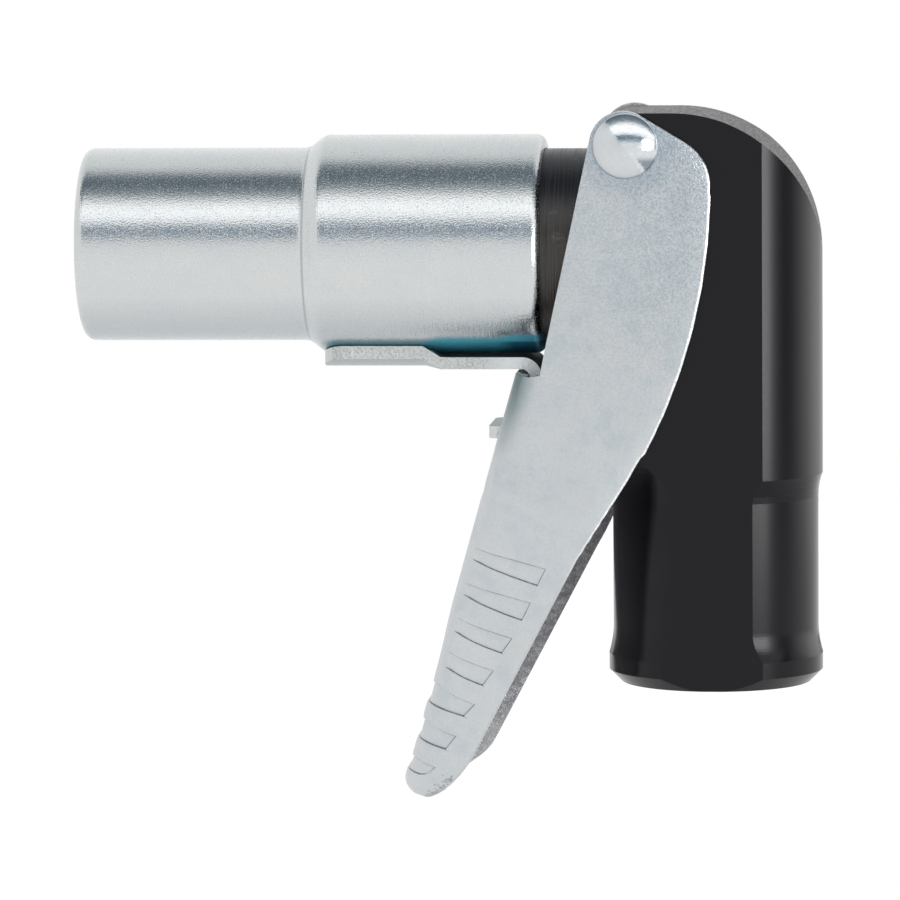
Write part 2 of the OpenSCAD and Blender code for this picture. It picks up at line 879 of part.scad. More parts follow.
module jaw(i) {
    pad_front = pad_rear + pad_len;
    color("#77797c")
        along_barrel()
            rotate([0, 0, 360 / jaw_count * i])
                intersection() {
                    difference() {
                        turned(concat(
                            [
                                [bite_r + tooth_depth, jaw_rear], [tube_r, jaw_rear],
                                [tube_r, pad_rear], [pad_r, pad_rear],
                                [pad_r + cam_slope * pad_len, pad_front],
                                [tube_r, pad_front], [tube_r, jaw_front],
                                [bite_r + bite_lead, jaw_front]
                            ],
                            teeth()
                        ));
                        ring(bite_r - over, expander_r + expander_half,
                            expander_z - expander_half, expander_z + expander_half);
                    }
                    translate([0, -jaw_w / 2, jaw_rear - over])
                        cube([far, jaw_w, jaw_len + 2 * over]);
                }
}

module jaw_1() {
    jaw(0);
}

module jaw_2() {
    jaw(1);
}

module jaw_3() {
    jaw(2);
}

// ---- Check valve ----

module poppet() {
    color("#c8a048")
        along_barrel()
            turned([
                [0, head_rear - tail_len], [tail_r - pin_c, head_rear - tail_len],
                [tail_r, head_rear - tail_len + pin_c], [tail_r, head_rear],
                [head_d / 2 - fine_c, head_rear], [head_d / 2, head_rear + fine_c],
                [head_d / 2, head_front], [boss_r, head_front],
                [boss_r, boss_end - fine_c], [pin_d / 2, boss_end],
                [pin_d / 2, pin_tip - pin_c], [pin_d / 2 - pin_c, pin_tip], [0, pin_tip]
            ]);
}

module poppet_seal() {
    color("#1b1b1b")
        along_barrel()
            wire_ring(boss_r + poppet_oring_r, poppet_oring_r, head_front + poppet_oring_r);
}

module poppet_spring() {
    color("#b0b3b6")
        along_barrel()
            coil(poppet_coil_r, poppet_wire, plug_front, head_rear, poppet_turns);
}

body();
barrel();
barrel_seal();
lock_sleeve();
cam_ring();
sleeve_spring();
hook_strap();
lever();
pivot_rivet();
jaw_1();
jaw_2();
jaw_3();
expander_ring();
nose_washer();
retaining_ring();
valve_seal();
poppet();
poppet_seal();
poppet_spring();
spring_plug();
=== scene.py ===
"""Looks of a right-angle locking tire chuck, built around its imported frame."""

import math

import bmesh
import bpy
import numpy as np
from mathutils import Matrix, Vector


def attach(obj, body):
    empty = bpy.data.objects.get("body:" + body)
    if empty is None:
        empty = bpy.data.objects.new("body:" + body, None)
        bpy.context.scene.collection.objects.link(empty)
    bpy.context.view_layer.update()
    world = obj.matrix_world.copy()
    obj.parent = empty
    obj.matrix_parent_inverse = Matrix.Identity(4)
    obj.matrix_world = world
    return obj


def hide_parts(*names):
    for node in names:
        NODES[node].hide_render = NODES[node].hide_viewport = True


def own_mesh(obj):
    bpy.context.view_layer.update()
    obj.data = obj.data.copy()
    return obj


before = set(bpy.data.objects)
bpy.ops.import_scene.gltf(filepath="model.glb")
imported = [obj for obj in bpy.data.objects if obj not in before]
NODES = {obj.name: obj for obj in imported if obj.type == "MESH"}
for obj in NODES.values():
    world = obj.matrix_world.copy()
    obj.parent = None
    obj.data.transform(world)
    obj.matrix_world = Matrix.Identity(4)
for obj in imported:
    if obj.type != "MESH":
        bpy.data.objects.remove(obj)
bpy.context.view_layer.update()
SCENE = bpy.context.scene
MM = 0.001

# Places in the part's frame, in millimetres
BARREL_Z = 45.0
PIVOT = Vector((-8.5, 0.0, 55.5))
WEB_ANGLE = math.radians(16.0)
FLOOR_X, FLOOR_Z = -27.0, -36.0
# How far the sleeve's step lies in front of the inlet's axis
STEP_LINE = 41.45
THREAD_PITCH = 25.4 / 18


# ---- Objects and meshes ----

def add_object(name, data):
    """A new object that holds the data, in the scene."""
    thing = bpy.data.objects.new(name, data)
    SCENE.collection.objects.link(thing)
    return thing


def fill_mesh(work, mesh):
    """Move a bmesh into a mesh, with its faces turned outward."""
    bmesh.ops.recalc_face_normals(work, faces=work.faces)
    work.to_mesh(mesh)
    work.free()
    return mesh


def shade(mesh, sharp_degrees):
    """Smooth shading, but for edges sharper than the angle."""
    mesh.polygons.foreach_set("use_smooth", [True] * len(mesh.polygons))
    mesh.set_sharp_from_angle(angle=math.radians(sharp_degrees))


# ---- Camera ----

# Degrees and millimetres
CAMERA_AZIMUTH = 5.2
CAMERA_ELEVATION = 5.7
CAMERA_ROLL = -0.45
CAMERA_DISTANCE = 612.6
CAMERA_TARGET = Vector((-27.39, 0.0, 23.67))
CAMERA_LENS = 237.6
CAMERA_SENSOR = 36.0
CAMERA_CLIP = (50.0, 20000.0)


def add_camera():
    """A long lens in front, a little to the right and above, as the photograph was taken."""
    azimuth, elevation = math.radians(CAMERA_AZIMUTH), math.radians(CAMERA_ELEVATION)
    back = Vector((
        math.sin(azimuth) * math.cos(elevation),
        -math.cos(azimuth) * math.cos(elevation),
        math.sin(elevation),
    ))
    camera = add_object("camera", bpy.data.cameras.new("camera"))
    camera.data.sensor_width = CAMERA_SENSOR
    camera.data.lens = CAMERA_LENS
    camera.data.clip_start, camera.data.clip_end = (reach * MM for reach in CAMERA_CLIP)
    camera.location = (CAMERA_TARGET + back * CAMERA_DISTANCE) * MM
    turn = (-back).to_track_quat("-Z", "Y").to_matrix()
    roll = Matrix.Rotation(math.radians(CAMERA_ROLL), 3, "Z")
    camera.rotation_euler = (turn @ roll).to_euler()
    SCENE.camera = camera


# ---- Node helpers ----

# The middle of a noise's range, from its dark to its light spots
NOISE_SPAN = (0.3, 0.7)
# Direction of a line at 35 degrees up from X, seen from the front
SLANT_X, SLANT_Z = 0.82, 0.58


class Graph:
    """A node tree with short ways to add nodes."""

    def __init__(self, owner):
        owner.use_nodes = True
        self.tree = owner.node_tree
        self.tree.nodes.clear()

    def add(self, kind, **settings):
        node = self.tree.nodes.new("ShaderNode" + kind)
        for key, value in settings.items():
            setattr(node, key, value)
        return node

    def set(self, socket, value):
        if isinstance(value, bpy.types.NodeSocket):
            self.tree.links.new(value, socket)
        elif value is not None:
            socket.default_value = value

    def fill(self, node, **values):
        for name, value in values.items():
            self.set(node.inputs[name.replace("_", " ")], value)

    def output(self, kind, shader):
        self.tree.links.new(shader, self.add("Output" + kind).inputs[0])

    def math(self, operation, a, b=None):
        node = self.add("Math", operation=operation)
        for socket, value in zip(node.inputs, (a, b)):
            self.set(socket, value)
        return node.outputs[0]

    def times(self, a, *factors):
        for b in factors:
            a = self.math("MULTIPLY", a, b)
        return a

    def plus(self, a, *terms):
        for b in terms:
            a = self.math("ADD", a, b)
        return a

    def minus(self, a, b):
        return self.math("SUBTRACT", a, b)

    def size(self, a):
        return self.math("ABSOLUTE", a)

    def distance(self, a, b):
        return self.math("SQRT", self.plus(self.math("POWER", a, 2.0), self.math("POWER", b, 2.0)))

    def slant(self, x, z):
        return self.plus(self.times(x, SLANT_X), self.times(z, SLANT_Z))

    def vector(self, operation, a, b):
        node = self.add("VectorMath", operation=operation)
        self.set(node.inputs[0], a)
        self.set(node.inputs[1], b)
        return node.outputs[0]

    def scale(self, vector, factors):
        return self.vector("MULTIPLY", vector, factors)

    def split(self, vector):
        node = self.add("SeparateXYZ")
        self.set(node.inputs[0], vector)
        return node.outputs

    def ramp(self, fac, stops):
        """Numbers or colours along fac, as (place, value) pairs."""
        node = self.add("ValToRGB")
        self.set(node.inputs[0], fac)
        elements = node.color_ramp.elements
        for i, (place, value) in enumerate(stops):
            stop = elements[i] if i < 2 else elements.new(place)
            stop.position = place
            colour = value if isinstance(value, tuple) else (value, value, value)
            stop.color = (*colour, 1)
        return node.outputs[0]

    def remap(self, fac, low, high, to_low=0.0, to_high=1.0, kind="SMOOTHSTEP"):
        """From to_low to to_high, as fac goes from low to high."""
        node = self.add("MapRange", interpolation_type=kind)
        for socket, value in zip(node.inputs, (fac, low, high, to_low, to_high)):
            self.set(socket, value)
        return node.outputs[0]

    def spread(self, noise, to_low=0.0, to_high=1.0):
        return self.remap(noise, *NOISE_SPAN, to_low, to_high)

    def mix(self, fac, a, b, blend="MIX"):
        node = self.add("Mix", data_type="RGBA", blend_type=blend)
        self.set(node.inputs[0], fac)
        for socket, value in ((node.inputs[6], a), (node.inputs[7], b)):
            self.set(socket, (*value, 1) if isinstance(value, tuple) else value)
        return node.outputs[2]

    def gain(self, colour, factor):
        return self.mix(1.0, colour, (factor, factor, factor), "MULTIPLY")

    def watching_rays(self):
        """The camera's rays, and those with the ones that mirrors and glass pass on."""
        rays = self.add("LightPath").outputs
        watched = self.math("MAXIMUM", rays["Is Glossy Ray"], rays["Is Transmission Ray"])
        return rays["Is Camera Ray"], self.math("MAXIMUM", watched, rays["Is Camera Ray"])


class Surface(Graph):
    """A Principled material whose place is the piece's own millimetres."""

    def __init__(self, name):
        self.material = bpy.data.materials.new(name)
        super().__init__(self.material)
        self.shader = self.add("BsdfPrincipled")
        self.output("Material", self.shader.outputs[0])
        coordinates = self.add("TexCoord").outputs
        self.normal = coordinates["Normal"]
        self.place = self.scale(coordinates["Object"], (1 / MM, 1 / MM, 1 / MM))
        self.x, self.y, self.z = self.split(self.place)
        self.colour = self.relief = None

    def noise(self, scale, detail=2.0, rough=0.5):
        """Noise over the piece; three scales give a grain that runs along an axis."""
        node = self.add("TexNoise")
        stretched = isinstance(scale, tuple)
        place = self.scale(self.place, scale) if stretched else self.place
        self.fill(node, Vector=place, Scale=1.0 if stretched else scale, Detail=detail, Roughness=rough)
        return node.outputs["Fac"]

    def tint(self, share, colour, most=None):
        """Lay a colour over the surface's own, by a share that most scales down."""
        if most is not None:
            share = self.times(share, most)
        self.colour = self.mix(share, self.colour, colour)

    def bump(self, height, depth, strength=1.0):
        """Add a height from 0 to 1 to the relief, depth millimetres deep."""
        node = self.add("Bump")
        self.fill(node, Height=height, Distance=depth * MM, Strength=strength, Normal=self.relief)
        self.relief = node.outputs[0]

    def finish(self, rough, metal=1.0, ior=None):
        """The material, once its shader has its values."""
        self.fill(self.shader, Base_Color=self.colour, Metallic=metal, Roughness=rough, IOR=ior)
        self.fill(self.shader, Normal=self.relief)
        return self.material


# ---- World and floor ----

# Light that mirrors see, as degrees over the object, level, and share of red and blue
BAND_GAIN = 1.5
BANDS = [
    (-90, 0.66, 1.0, 1.0), (2, 0.67, 1.0, 1.0), (7, 0.60, 0.98, 1.02), (11, 0.44, 0.92, 1.08),
    (15, 0.24, 0.82, 1.20), (20, 0.18, 0.80, 1.22), (25, 0.32, 0.86, 1.14), (29, 0.74, 0.97, 1.03),
    (34, 0.98, 1.0, 1.0), (50, 1.0, 1.0, 1.0), (57, 0.62, 1.0, 1.0), (62, 0.34, 0.92, 1.05),
    (67, 0.21, 0.84, 1.12), (76, 0.13, 0.78, 1.18), (91, 0.11, 0.78, 1.16), (97, 0.30, 0.88, 1.08),
    (101, 0.48, 0.97, 1.02), (109, 0.60, 0.98, 1.01), (130, 0.64, 0.98, 1.0), (146, 0.68, 0.98, 1.0),
    (162, 0.70, 1.0, 1.0), (180, 0.68, 1.0, 1.0), (270, 0.66, 1.0, 1.0),
]
# The bands end at the left, and along a slanted line low down, in a plain surround
SURROUND = (0.66, 0.66, 0.66)
SURROUND_X = (-0.75, -0.95)
SURROUND_SLANT = (-0.12, -0.22)
# A tall lamp at the right of the camera, as degrees round from the front and level
LAMP_GAIN = 10.0
LAMP_LEVELS = [
    (0, 10.0), (60, 10.0), (64, 4.8), (68, 2.3), (74, 1.0), (80, 0.50), (87, 0.45), (95, 0.8),
    (103, 1.3), (112, 1.7), (130, 1.8), (148, 1.15), (166, 0.85), (180, 0.85),
]
# Degrees over which the lamp starts, and its foot and top
LAMP_START = (41.0, 46.0)
LAMP_FOOT = (-11.0, -8.0)
LAMP_TOP = (14.0, 6.0)
# What the camera sees, and the soft light on matt surfaces from below and above
BACKDROP = (1.0, 1.0, 1.0)
SOFT_LIGHT = (0.72, 0.73, 0.74), (1.12, 1.11, 1.10)
SOFT_LIGHT_Z = (-0.3, 0.9)

FLOOR_RADIUS = 500.0
FLOOR_SIDES = 96
FLOOR_GREY = (0.5, 0.5, 0.5, 1)
FLOOR_GLOW = 0.52


def add_world():
    """White to the camera, strip lights and a lamp to mirrors, soft light to the rest."""
    world = bpy.data.worlds.new("studio")
    SCENE.world = world
    g = Graph(world)
    x, y, z = g.split(g.add("TexCoord").outputs["Generated"])
    forward = g.times(y, -1.0)
    degrees = 180 / math.pi
    # Degrees up from the horizon in front of the object, over the top, to the horizon behind
    over = g.times(g.math("ARCTAN2", z, forward), degrees)
    # Degrees round from the front toward +X, and up from the horizon
    sideways = g.times(g.math("ARCTAN2", x, forward), degrees)
    height = g.times(g.math("ARCSINE", z), degrees)

    turns = g.math("FRACT", g.math("DIVIDE", g.plus(over, 90.0), 360.0))
    bands = g.ramp(turns, [
        ((angle + 90) / 360, (level * red, level, level * blue))
        for angle, level, red, blue in BANDS
    ])
    plain = g.math("MAXIMUM", g.remap(x, *SURROUND_X), g.remap(g.slant(x, z), *SURROUND_SLANT))
    seen = g.gain(g.mix(plain, bands, SURROUND), BAND_GAIN)
    lamp = g.ramp(g.math("DIVIDE", sideways, 180.0), [
        (angle / 180, level / LAMP_GAIN) for angle, level in LAMP_LEVELS
    ])
    upright = g.times(g.remap(height, *LAMP_FOOT), g.remap(height, *LAMP_TOP))
    seen = g.mix(g.times(upright, g.remap(sideways, *LAMP_START)), seen, g.gain(lamp, LAMP_GAIN))
    camera_rays, watched = g.watching_rays()
    seen = g.mix(camera_rays, seen, BACKDROP)
    light = g.mix(g.remap(z, *SOFT_LIGHT_Z), *SOFT_LIGHT)
    background = g.add("Background")
    g.set(background.inputs["Color"], g.mix(watched, light, seen))
    g.output("World", background.outputs[0])


def add_floor():
    """A round floor that looks white and takes a soft shadow."""
    mesh = bpy.data.meshes.new("floor")
    radius = FLOOR_RADIUS * MM
    rim = [
        (radius * math.cos(a), radius * math.sin(a), 0.0)
        for a in (2 * math.pi * i / FLOOR_SIDES for i in range(FLOOR_SIDES))
    ]
    mesh.from_pydata(rim, [], [range(FLOOR_SIDES)])
    floor = add_object("floor", mesh)
    floor.location = (FLOOR_X * MM, 0, FLOOR_Z * MM)
    material = bpy.data.materials.new("floor")
    g = Graph(material)
    diffuse = g.add("BsdfDiffuse")
    diffuse.inputs["Color"].default_value = FLOOR_GREY
    glow = g.add("Emission")
    g.set(glow.inputs["Strength"], g.times(g.watching_rays()[1], FLOOR_GLOW))
    both = g.add("AddShader")
    g.set(both.inputs[0], diffuse.outputs[0])
    g.set(both.inputs[1], glow.outputs[0])
    g.output("Material", both.outputs[0])
    mesh.materials.append(material)


# ---- Materials ----

# Colours, as linear red, green and blue
TURNED_ZINC = (0.605, 0.630, 0.640), (0.628, 0.644, 0.646)
TURNED_PAINTED_SHADE = (0.38, 0.42, 0.45)
STEP_GREY = (0.24, 0.26, 0.28)
CHROMATE = (0.05, 0.22, 0.27)
CHROMATE_REAR = (0.10, 0.55, 0.72)
CHROMATE_PAINTED_SHADOW = (0.03, 0.20, 0.32)
PEEL = (0.80, 0.82, 0.83)
STRAP_ZINC = (0.55, 0.579, 0.581), (0.59, 0.616, 0.612)
STRAP_SPOTS = (0.36, 0.34, 0.30)
STRAP_PAINTED_HIGHLIGHT = (0.92, 0.95, 0.95)
STRAP_PAINTED_SHADE = (0.37, 0.40, 0.42)
GAP_PAINTED_DARK = (0.03, 0.055, 0.06)
TAB_TOP_TINT = (0.10, 0.17, 0.165)
LEVER_ZINC = (0.555, 0.588, 0.606), (0.585, 0.612, 0.628)
LEVER_WARM = (0.640, 0.640, 0.635)
LEVER_COOL = (0.500, 0.560, 0.590)
LEVER_MOTTLE = (0.22, 0.285, 0.345)
LEVER_TOP = (0.36, 0.41, 0.45)
LEVER_HALO = (0.30, 0.37, 0.44)
BEND_PAINTED_SHADE = (0.20, 0.27, 0.275)
SCORED_PAINTED_SHADE = (0.10, 0.115, 0.12)
SHEARED_TIP = (0.27, 0.28, 0.30)
INNER_ZINC = (0.52, 0.52, 0.54), (0.88, 0.88, 0.90)
INNER_SPECKS = (0.28, 0.28, 0.295)
INNER_TIP = (0.66, 0.67, 0.68)
EDGE_ZINC = (0.72, 0.74, 0.75), (0.95, 0.96, 0.96)
EDGE_PAINTED_SHADOW = (0.07, 0.08, 0.085)
EDGE_DULL = (0.52, 0.54, 0.55)
SHEARED_ZINC = (0.34, 0.34, 0.34), (0.80, 0.80, 0.79)
FAR_RIM_PAINTED_SHADOW = (0.03, 0.03, 0.03)
CUT_EDGE_PAINTED_HIGHLIGHT = (0.74, 0.75, 0.76)
ANODISED_IOR = 1.32
ANODISED = (0.0034, 0.0034, 0.0062), (0.0048, 0.0048, 0.0080)
CUT_THREAD = (0.50, 0.50, 0.51)
NECK_TOP = (0.012, 0.014, 0.018), (0.026, 0.029, 0.034)
NECK_MIDDLE = (0.040, 0.037, 0.035), (0.074, 0.068, 0.063)
NECK_RUBBED = (0.20, 0.19, 0.185)
RIVET_ZINC = (0.62, 0.66, 0.68), (0.70, 0.73, 0.75)
RIVET_PAINTED_REFLECTION = (0.16, 0.20, 0.24)
RIVET_DULL = (0.60, 0.62, 0.64)
RUBBER = (0.010, 0.010, 0.010), (0.022, 0.022, 0.022)

# Stretches over which a look comes in, in millimetres of the part's frame
SLEEVE_PAINTED_SHADE_Z = (40.2, 35.0)
STAIN_X = (-40.5, -38.5)
STAIN_REAR_X = (-30.5, -27.0)
STAIN_NECK_X = (-22.5, -20.0)
STAIN_Z = (35.85, 34.95)
NECK_SHADOW_Z = (35.5, 35.2)
STEP_LINE_HALF = (0.20, 0.04)
STRAP_BEND_X = (-25.0, -19.5)
COVERED_X = (-29.0, -28.0)
COVERED_Z = (31.2, 31.8)
TAB_Z = (31.5, 30.5)
NEAR_RIVET_Z = (22.0, 56.0)
INNER_TIP_Z = (-3.5, -6.5)
FAR_RIM_Y = (5.0, 8.0)
FAR_RIM_Z = (26.0, 16.0)
CUT_EDGE_HIGHLIGHT_Z = (50.0, 54.0)
BORE_R = (7.1, 7.0)
BORE_Z = (12.6, 12.2)
NECK_Z = (53.0, 46.0)

# The same from the rivet: across the lever, along it, out from it, and along the slant
LEVER_ACROSS = (-2.0, 10.0)
HALO_R = (6.4, 3.3)
BEND_SHADE_ACROSS = (-1.6, -4.2)
BEND_SHADE_LOW = (-35.5, -26.5)
BEND_SHADE_HIGH = (-23.5, -25.0)
WEB_TOP_ACROSS = (-1.2, -1.9)
WEB_TOP_LOW = (-27.0, -26.3)
WEB_TOP_HIGH = (-23.0, -24.0)
HANDLE_ALONG = (-38.0, -46.0)
RIVET_DULL_SLANT = (0.05, -0.30)
RIVET_REFLECTION_Z = (-0.9, -1.7)
RIVET_REFLECTION_SLANT = (0.2, 0.5)


def chromate_stain(s):
    """Blue chromate tint along the strap, reaching higher toward the neck, where a painted shadow darkens
    it.
    """
    neck = s.remap(s.x, *STAIN_NECK_X)
    rear = s.remap(s.x, *STAIN_REAR_X)
    level = s.minus(s.minus(s.z, s.times(rear, 0.35)), s.times(neck, 0.4))
    tinted_area = s.times(s.remap(level, *STAIN_Z), s.remap(s.x, *STAIN_X))
    # Painted shadow: dark blue low down by the neck
    deep = s.times(neck, s.remap(s.z, *NECK_SHADOW_Z))
    tint = s.mix(rear, CHROMATE, CHROMATE_REAR)
    return tinted_area, s.mix(deep, tint, CHROMATE_PAINTED_SHADOW)


def turned_zinc():
    """Zinc plate over a turned surface: fine rings round the axis, and specks."""
    s = Surface("turned_zinc")
    rings = s.noise((6.5, 0.45, 0.45), detail=1.0, rough=0.6)
    cloud = s.noise(0.30, detail=3.0)
    grain = s.noise(6.5, detail=1.0)
    s.colour = s.mix(s.spread(cloud), *TURNED_ZINC)
    # Painted shade: the sleeve darker toward its bottom
    s.tint(s.remap(s.z, *SLEEVE_PAINTED_SHADE_Z, 0.0, 0.85, "LINEAR"), TURNED_PAINTED_SHADE)
    tinted_area, tint = chromate_stain(s)
    s.tint(tinted_area, tint)
    # The line where the step's fillet meets its shoulder
    ring = s.remap(s.size(s.plus(s.x, STEP_LINE)), *STEP_LINE_HALF)
    s.tint(ring, STEP_GREY, 0.5)
    # Matt specks, which catch light inside the dark reflections
    speck = s.remap(s.noise(8.0, detail=1.0), 0.56, 0.66)
    rings_rough = s.remap(rings, 0.35, 0.65, 0.05, 0.12)
    grain_rough = s.remap(grain, 0.35, 0.65, 0.0, 0.06)
    rough = s.plus(rings_rough, grain_rough, s.times(tinted_area, 0.30), s.times(speck, 0.34))
    s.bump(rings, 0.018, 0.8)
    s.bump(grain, 0.028, 0.8)
    metal = s.minus(1.0, s.times(tinted_area, 0.40))
    return s.finish(rough, metal)


def plated_sheet(s, low, high):
    """Plate that clouds slowly between two colours, under the orange peel returned."""
    peel = s.noise(3.2, detail=3.0, rough=0.6)
    cloud = s.noise(0.16, detail=4.0, rough=0.55)
    s.colour = s.mix(s.remap(cloud, 0.25, 0.75), low, high)
    s.tint(s.remap(peel, 0.2, 0.8, 0.0, 0.22), PEEL)
    return peel


def strap_zinc():
    """Zinc plate over rolled strip, with coarse cut faces, a painted highlight where it bends, painted
    shade underneath and a painted dark reflection on top.
    """
    s = Surface("strap_zinc")
    peel = plated_sheet(s, *STRAP_ZINC)
    forward, facing, upward = s.split(s.normal)
    # Cut faces, whose normal points along Y, are coarse and speckled
    cut = s.remap(s.size(facing), 0.75, 0.9)
    speck = s.noise(3.4, detail=4.0, rough=0.75)
    s.tint(s.times(cut, s.remap(speck, 0.36, 0.56, 0.75, 0.0)), STRAP_SPOTS)
    # Painted highlight brightens them where the strap bends, and painted shade darkens the sheet's
    # downward faces
    s.tint(s.times(cut, s.remap(s.x, *STRAP_BEND_X, 0.0, 0.9)), STRAP_PAINTED_HIGHLIGHT)
    s.tint(s.remap(upward, -0.45, -0.75), STRAP_PAINTED_SHADE)
    # Painted dark reflection and shade on top and round the bend, where the sleeve covers it
    outer = s.remap(s.math("MAXIMUM", upward, forward), 0.35, 0.6)
    covered = s.times(s.remap(s.x, *COVERED_X), s.remap(s.z, *COVERED_Z))
    painted_gap_dark = s.times(outer, covered, 0.92)
    s.tint(painted_gap_dark, GAP_PAINTED_DARK)
    # Darker blue-green on the tail tab's top
    tab = s.times(s.remap(s.z, *TAB_Z), s.remap(upward, 0.7, 0.9))
    s.tint(tab, TAB_TOP_TINT, 0.9)
    rough = s.plus(s.spread(peel, 0.30, 0.42), s.times(cut, 0.08), s.times(painted_gap_dark, 0.35))
    s.bump(peel, 0.04, 0.6)
    s.bump(s.times(speck, cut), 0.14, 0.7)
    metal = s.minus(1.0, painted_gap_dark)
    return s.finish(rough, metal)


def lever_axes(s):
    """Millimetres across the lever from the rivet, and along it toward its top."""
    x, _, z = s.split(s.vector("SUBTRACT", s.place, tuple(PIVOT)))
    tilt_c, tilt_s = math.cos(WEB_ANGLE), math.sin(WEB_ANGLE)
    across = s.minus(s.times(x, tilt_c), s.times(z, tilt_s))
    along = s.plus(s.times(x, tilt_s), s.times(z, tilt_c))
    return across, along


def lever_marks(s, fine):
    """Scored lines darkened with painted shade, and a ragged sheared band on the tip, where the mesh says
    so.
    """
    line = s.add("Attribute", attribute_name="line").outputs["Fac"]
    broken = s.remap(s.noise(1.6, detail=3.0, rough=0.7), 0.38, 0.50, 0.35, 1.0)
    line = s.times(s.remap(line, 0.35, 0.95), broken)
    # Painted shade in the scored creases along the grooves' edges
    s.tint(line, SCORED_PAINTED_SHADE, 0.75)
    # The sheared edge rolls over onto the tip
    shear = s.add("Attribute", attribute_name="shear").outputs["Fac"]
    limit = s.spread(s.noise(1.9, detail=3.0, rough=0.7), 0.35, 0.90)
    ragged = s.math("GREATER_THAN", shear, limit)
    ragged = s.times(ragged, s.remap(fine, 0.35, 0.60, 0.80, 0.35))
    s.tint(ragged, SHEARED_TIP)
    return line


def lever_zinc():
    """The lever's outer skin: patchy plate, darker and more grained toward the rivet."""
    s = Surface("lever_zinc")
    peel = plated_sheet(s, *LEVER_ZINC)
    # Warmer and cooler patches of plate
    patch = s.noise(0.32, detail=3.0, rough=0.6)
    s.tint(s.remap(patch, 0.50, 0.66, 0.0, 0.45), LEVER_WARM)
    s.tint(s.remap(patch, 0.50, 0.36, 0.0, 0.40), LEVER_COOL)
    # Orange peel shows more toward the rivet, where the plate is thinner
    near_rivet = s.remap(s.z, *NEAR_RIVET_Z)
    fine = s.noise(5.5, rough=0.6)
    across, along = lever_axes(s)
    # A bluish halo where the head was pressed against the sheet
    halo = s.remap(s.distance(across, along), *HALO_R)
    share = s.times(near_rivet, s.remap(across, *LEVER_ACROSS, 0.5, 1.3))
    share = s.plus(share, 0.22, s.times(halo, 0.9))
    mottle = s.times(s.remap(fine, 0.36, 0.60, 1.0, 0.0), share)
    s.tint(mottle, LEVER_MOTTLE, 0.40)
    s.tint(near_rivet, LEVER_TOP, 0.12)
    s.tint(halo, LEVER_HALO, 0.30)
    # Painted blue-green shade on the bend below the web's top edge, under the strap's hook
    painted_shade = s.times(s.remap(across, *BEND_SHADE_ACROSS), s.remap(along, *BEND_SHADE_LOW), s.remap(along, *BEND_SHADE_HIGH))
    s.tint(painted_shade, BEND_PAINTED_SHADE, 0.85)
    line = lever_marks(s, fine)
    rough = s.plus(s.spread(peel, 0.34, 0.44), s.times(line, 0.2))
    relief = s.plus(0.35, s.times(near_rivet, 0.65))
    s.bump(s.times(fine, relief), 0.10, 0.7)
    return s.finish(rough)


def inner_zinc():
    """The lever's inner skin: dull plate, finely speckled where the shear rolled it."""
    s = Surface("inner_zinc")
    coarse = s.noise(1.6, detail=4.0, rough=0.7)
    fine = s.noise(7.0, rough=0.6)
    s.colour = s.mix(s.remap(coarse, 0.36, 0.60), *INNER_ZINC)
    s.tint(s.remap(fine, 0.40, 0.60, 0.6, 0.0), INNER_SPECKS)
    s.tint(s.remap(s.z, *INNER_TIP_Z, 0.0, 0.85), INNER_TIP)
    rough = s.spread(fine, 0.62, 0.75)
    s.bump(coarse, 0.04, 0.7)
    s.bump(fine, 0.03, 0.7)
    return s.finish(rough, metal=0.6)


def edge_zinc():
    """The lever's rounded edges, rubbed bright; a painted shadow darkens them along the web's top."""
    s = Surface("edge_zinc")
    grain = s.noise(4.0, detail=3.0, rough=0.6)
    s.colour = s.mix(s.remap(grain, 0.3, 0.6), *EDGE_ZINC)
    across, along = lever_axes(s)
    height = s.remap(along, *WEB_TOP_LOW), s.remap(along, *WEB_TOP_HIGH)
    # Painted shadow under the strap's hook, along the web's top
    s.tint(s.times(s.remap(across, *WEB_TOP_ACROSS), *height), EDGE_PAINTED_SHADOW)
    # Fingers have dulled it along the handle
    s.tint(s.remap(along, *HANDLE_ALONG, 0.0, 0.9), EDGE_DULL)
    rough = s.spread(grain, 0.22, 0.34)
    s.bump(grain, 0.02, 0.5)
    return s.finish(rough)


def sheared_zinc():
    """Cut edge of plated sheet: coarse, speckled and uneven."""
    s = Surface("sheared_zinc")
    coarse = s.noise(3.2, detail=4.0, rough=0.7)
    fine = s.noise(9.0, detail=3.0, rough=0.7)
    s.colour = s.mix(s.remap(coarse, 0.35, 0.65), *SHEARED_ZINC)
    # Low on the far cheek the cut edge is darker, a painted shadow in the gap behind the near cheek
    painted_shade = s.times(s.remap(s.y, *FAR_RIM_Y, 0.0, 0.85), s.remap(s.z, *FAR_RIM_Z))
    s.tint(painted_shade, FAR_RIM_PAINTED_SHADOW)
    # Painted highlight: the cut edge lighter toward the crown
    s.tint(s.remap(s.z, *CUT_EDGE_HIGHLIGHT_Z, 0.0, 0.8), CUT_EDGE_PAINTED_HIGHLIGHT)
    rough = s.spread(fine, 0.22, 0.6)
    s.bump(coarse, 0.12, 0.7)
    s.bump(fine, 0.10, 0.8)
    return s.finish(rough)


def inlet_thread(s):
    """Where the inlet is bare, and the ridge of the thread cut in it, from 0 to a half."""
    inside = s.times(s.remap(s.distance(s.x, s.y), *BORE_R), s.remap(s.z, *BORE_Z))
    turn = s.math("DIVIDE", s.math("ARCTAN2", s.y, s.x), 2 * math.pi)
    phase = s.math("FRACT", s.plus(s.math("DIVIDE", s.z, THREAD_PITCH), s.plus(turn, 8.0)))
    return inside, s.size(s.minus(phase, 0.5))


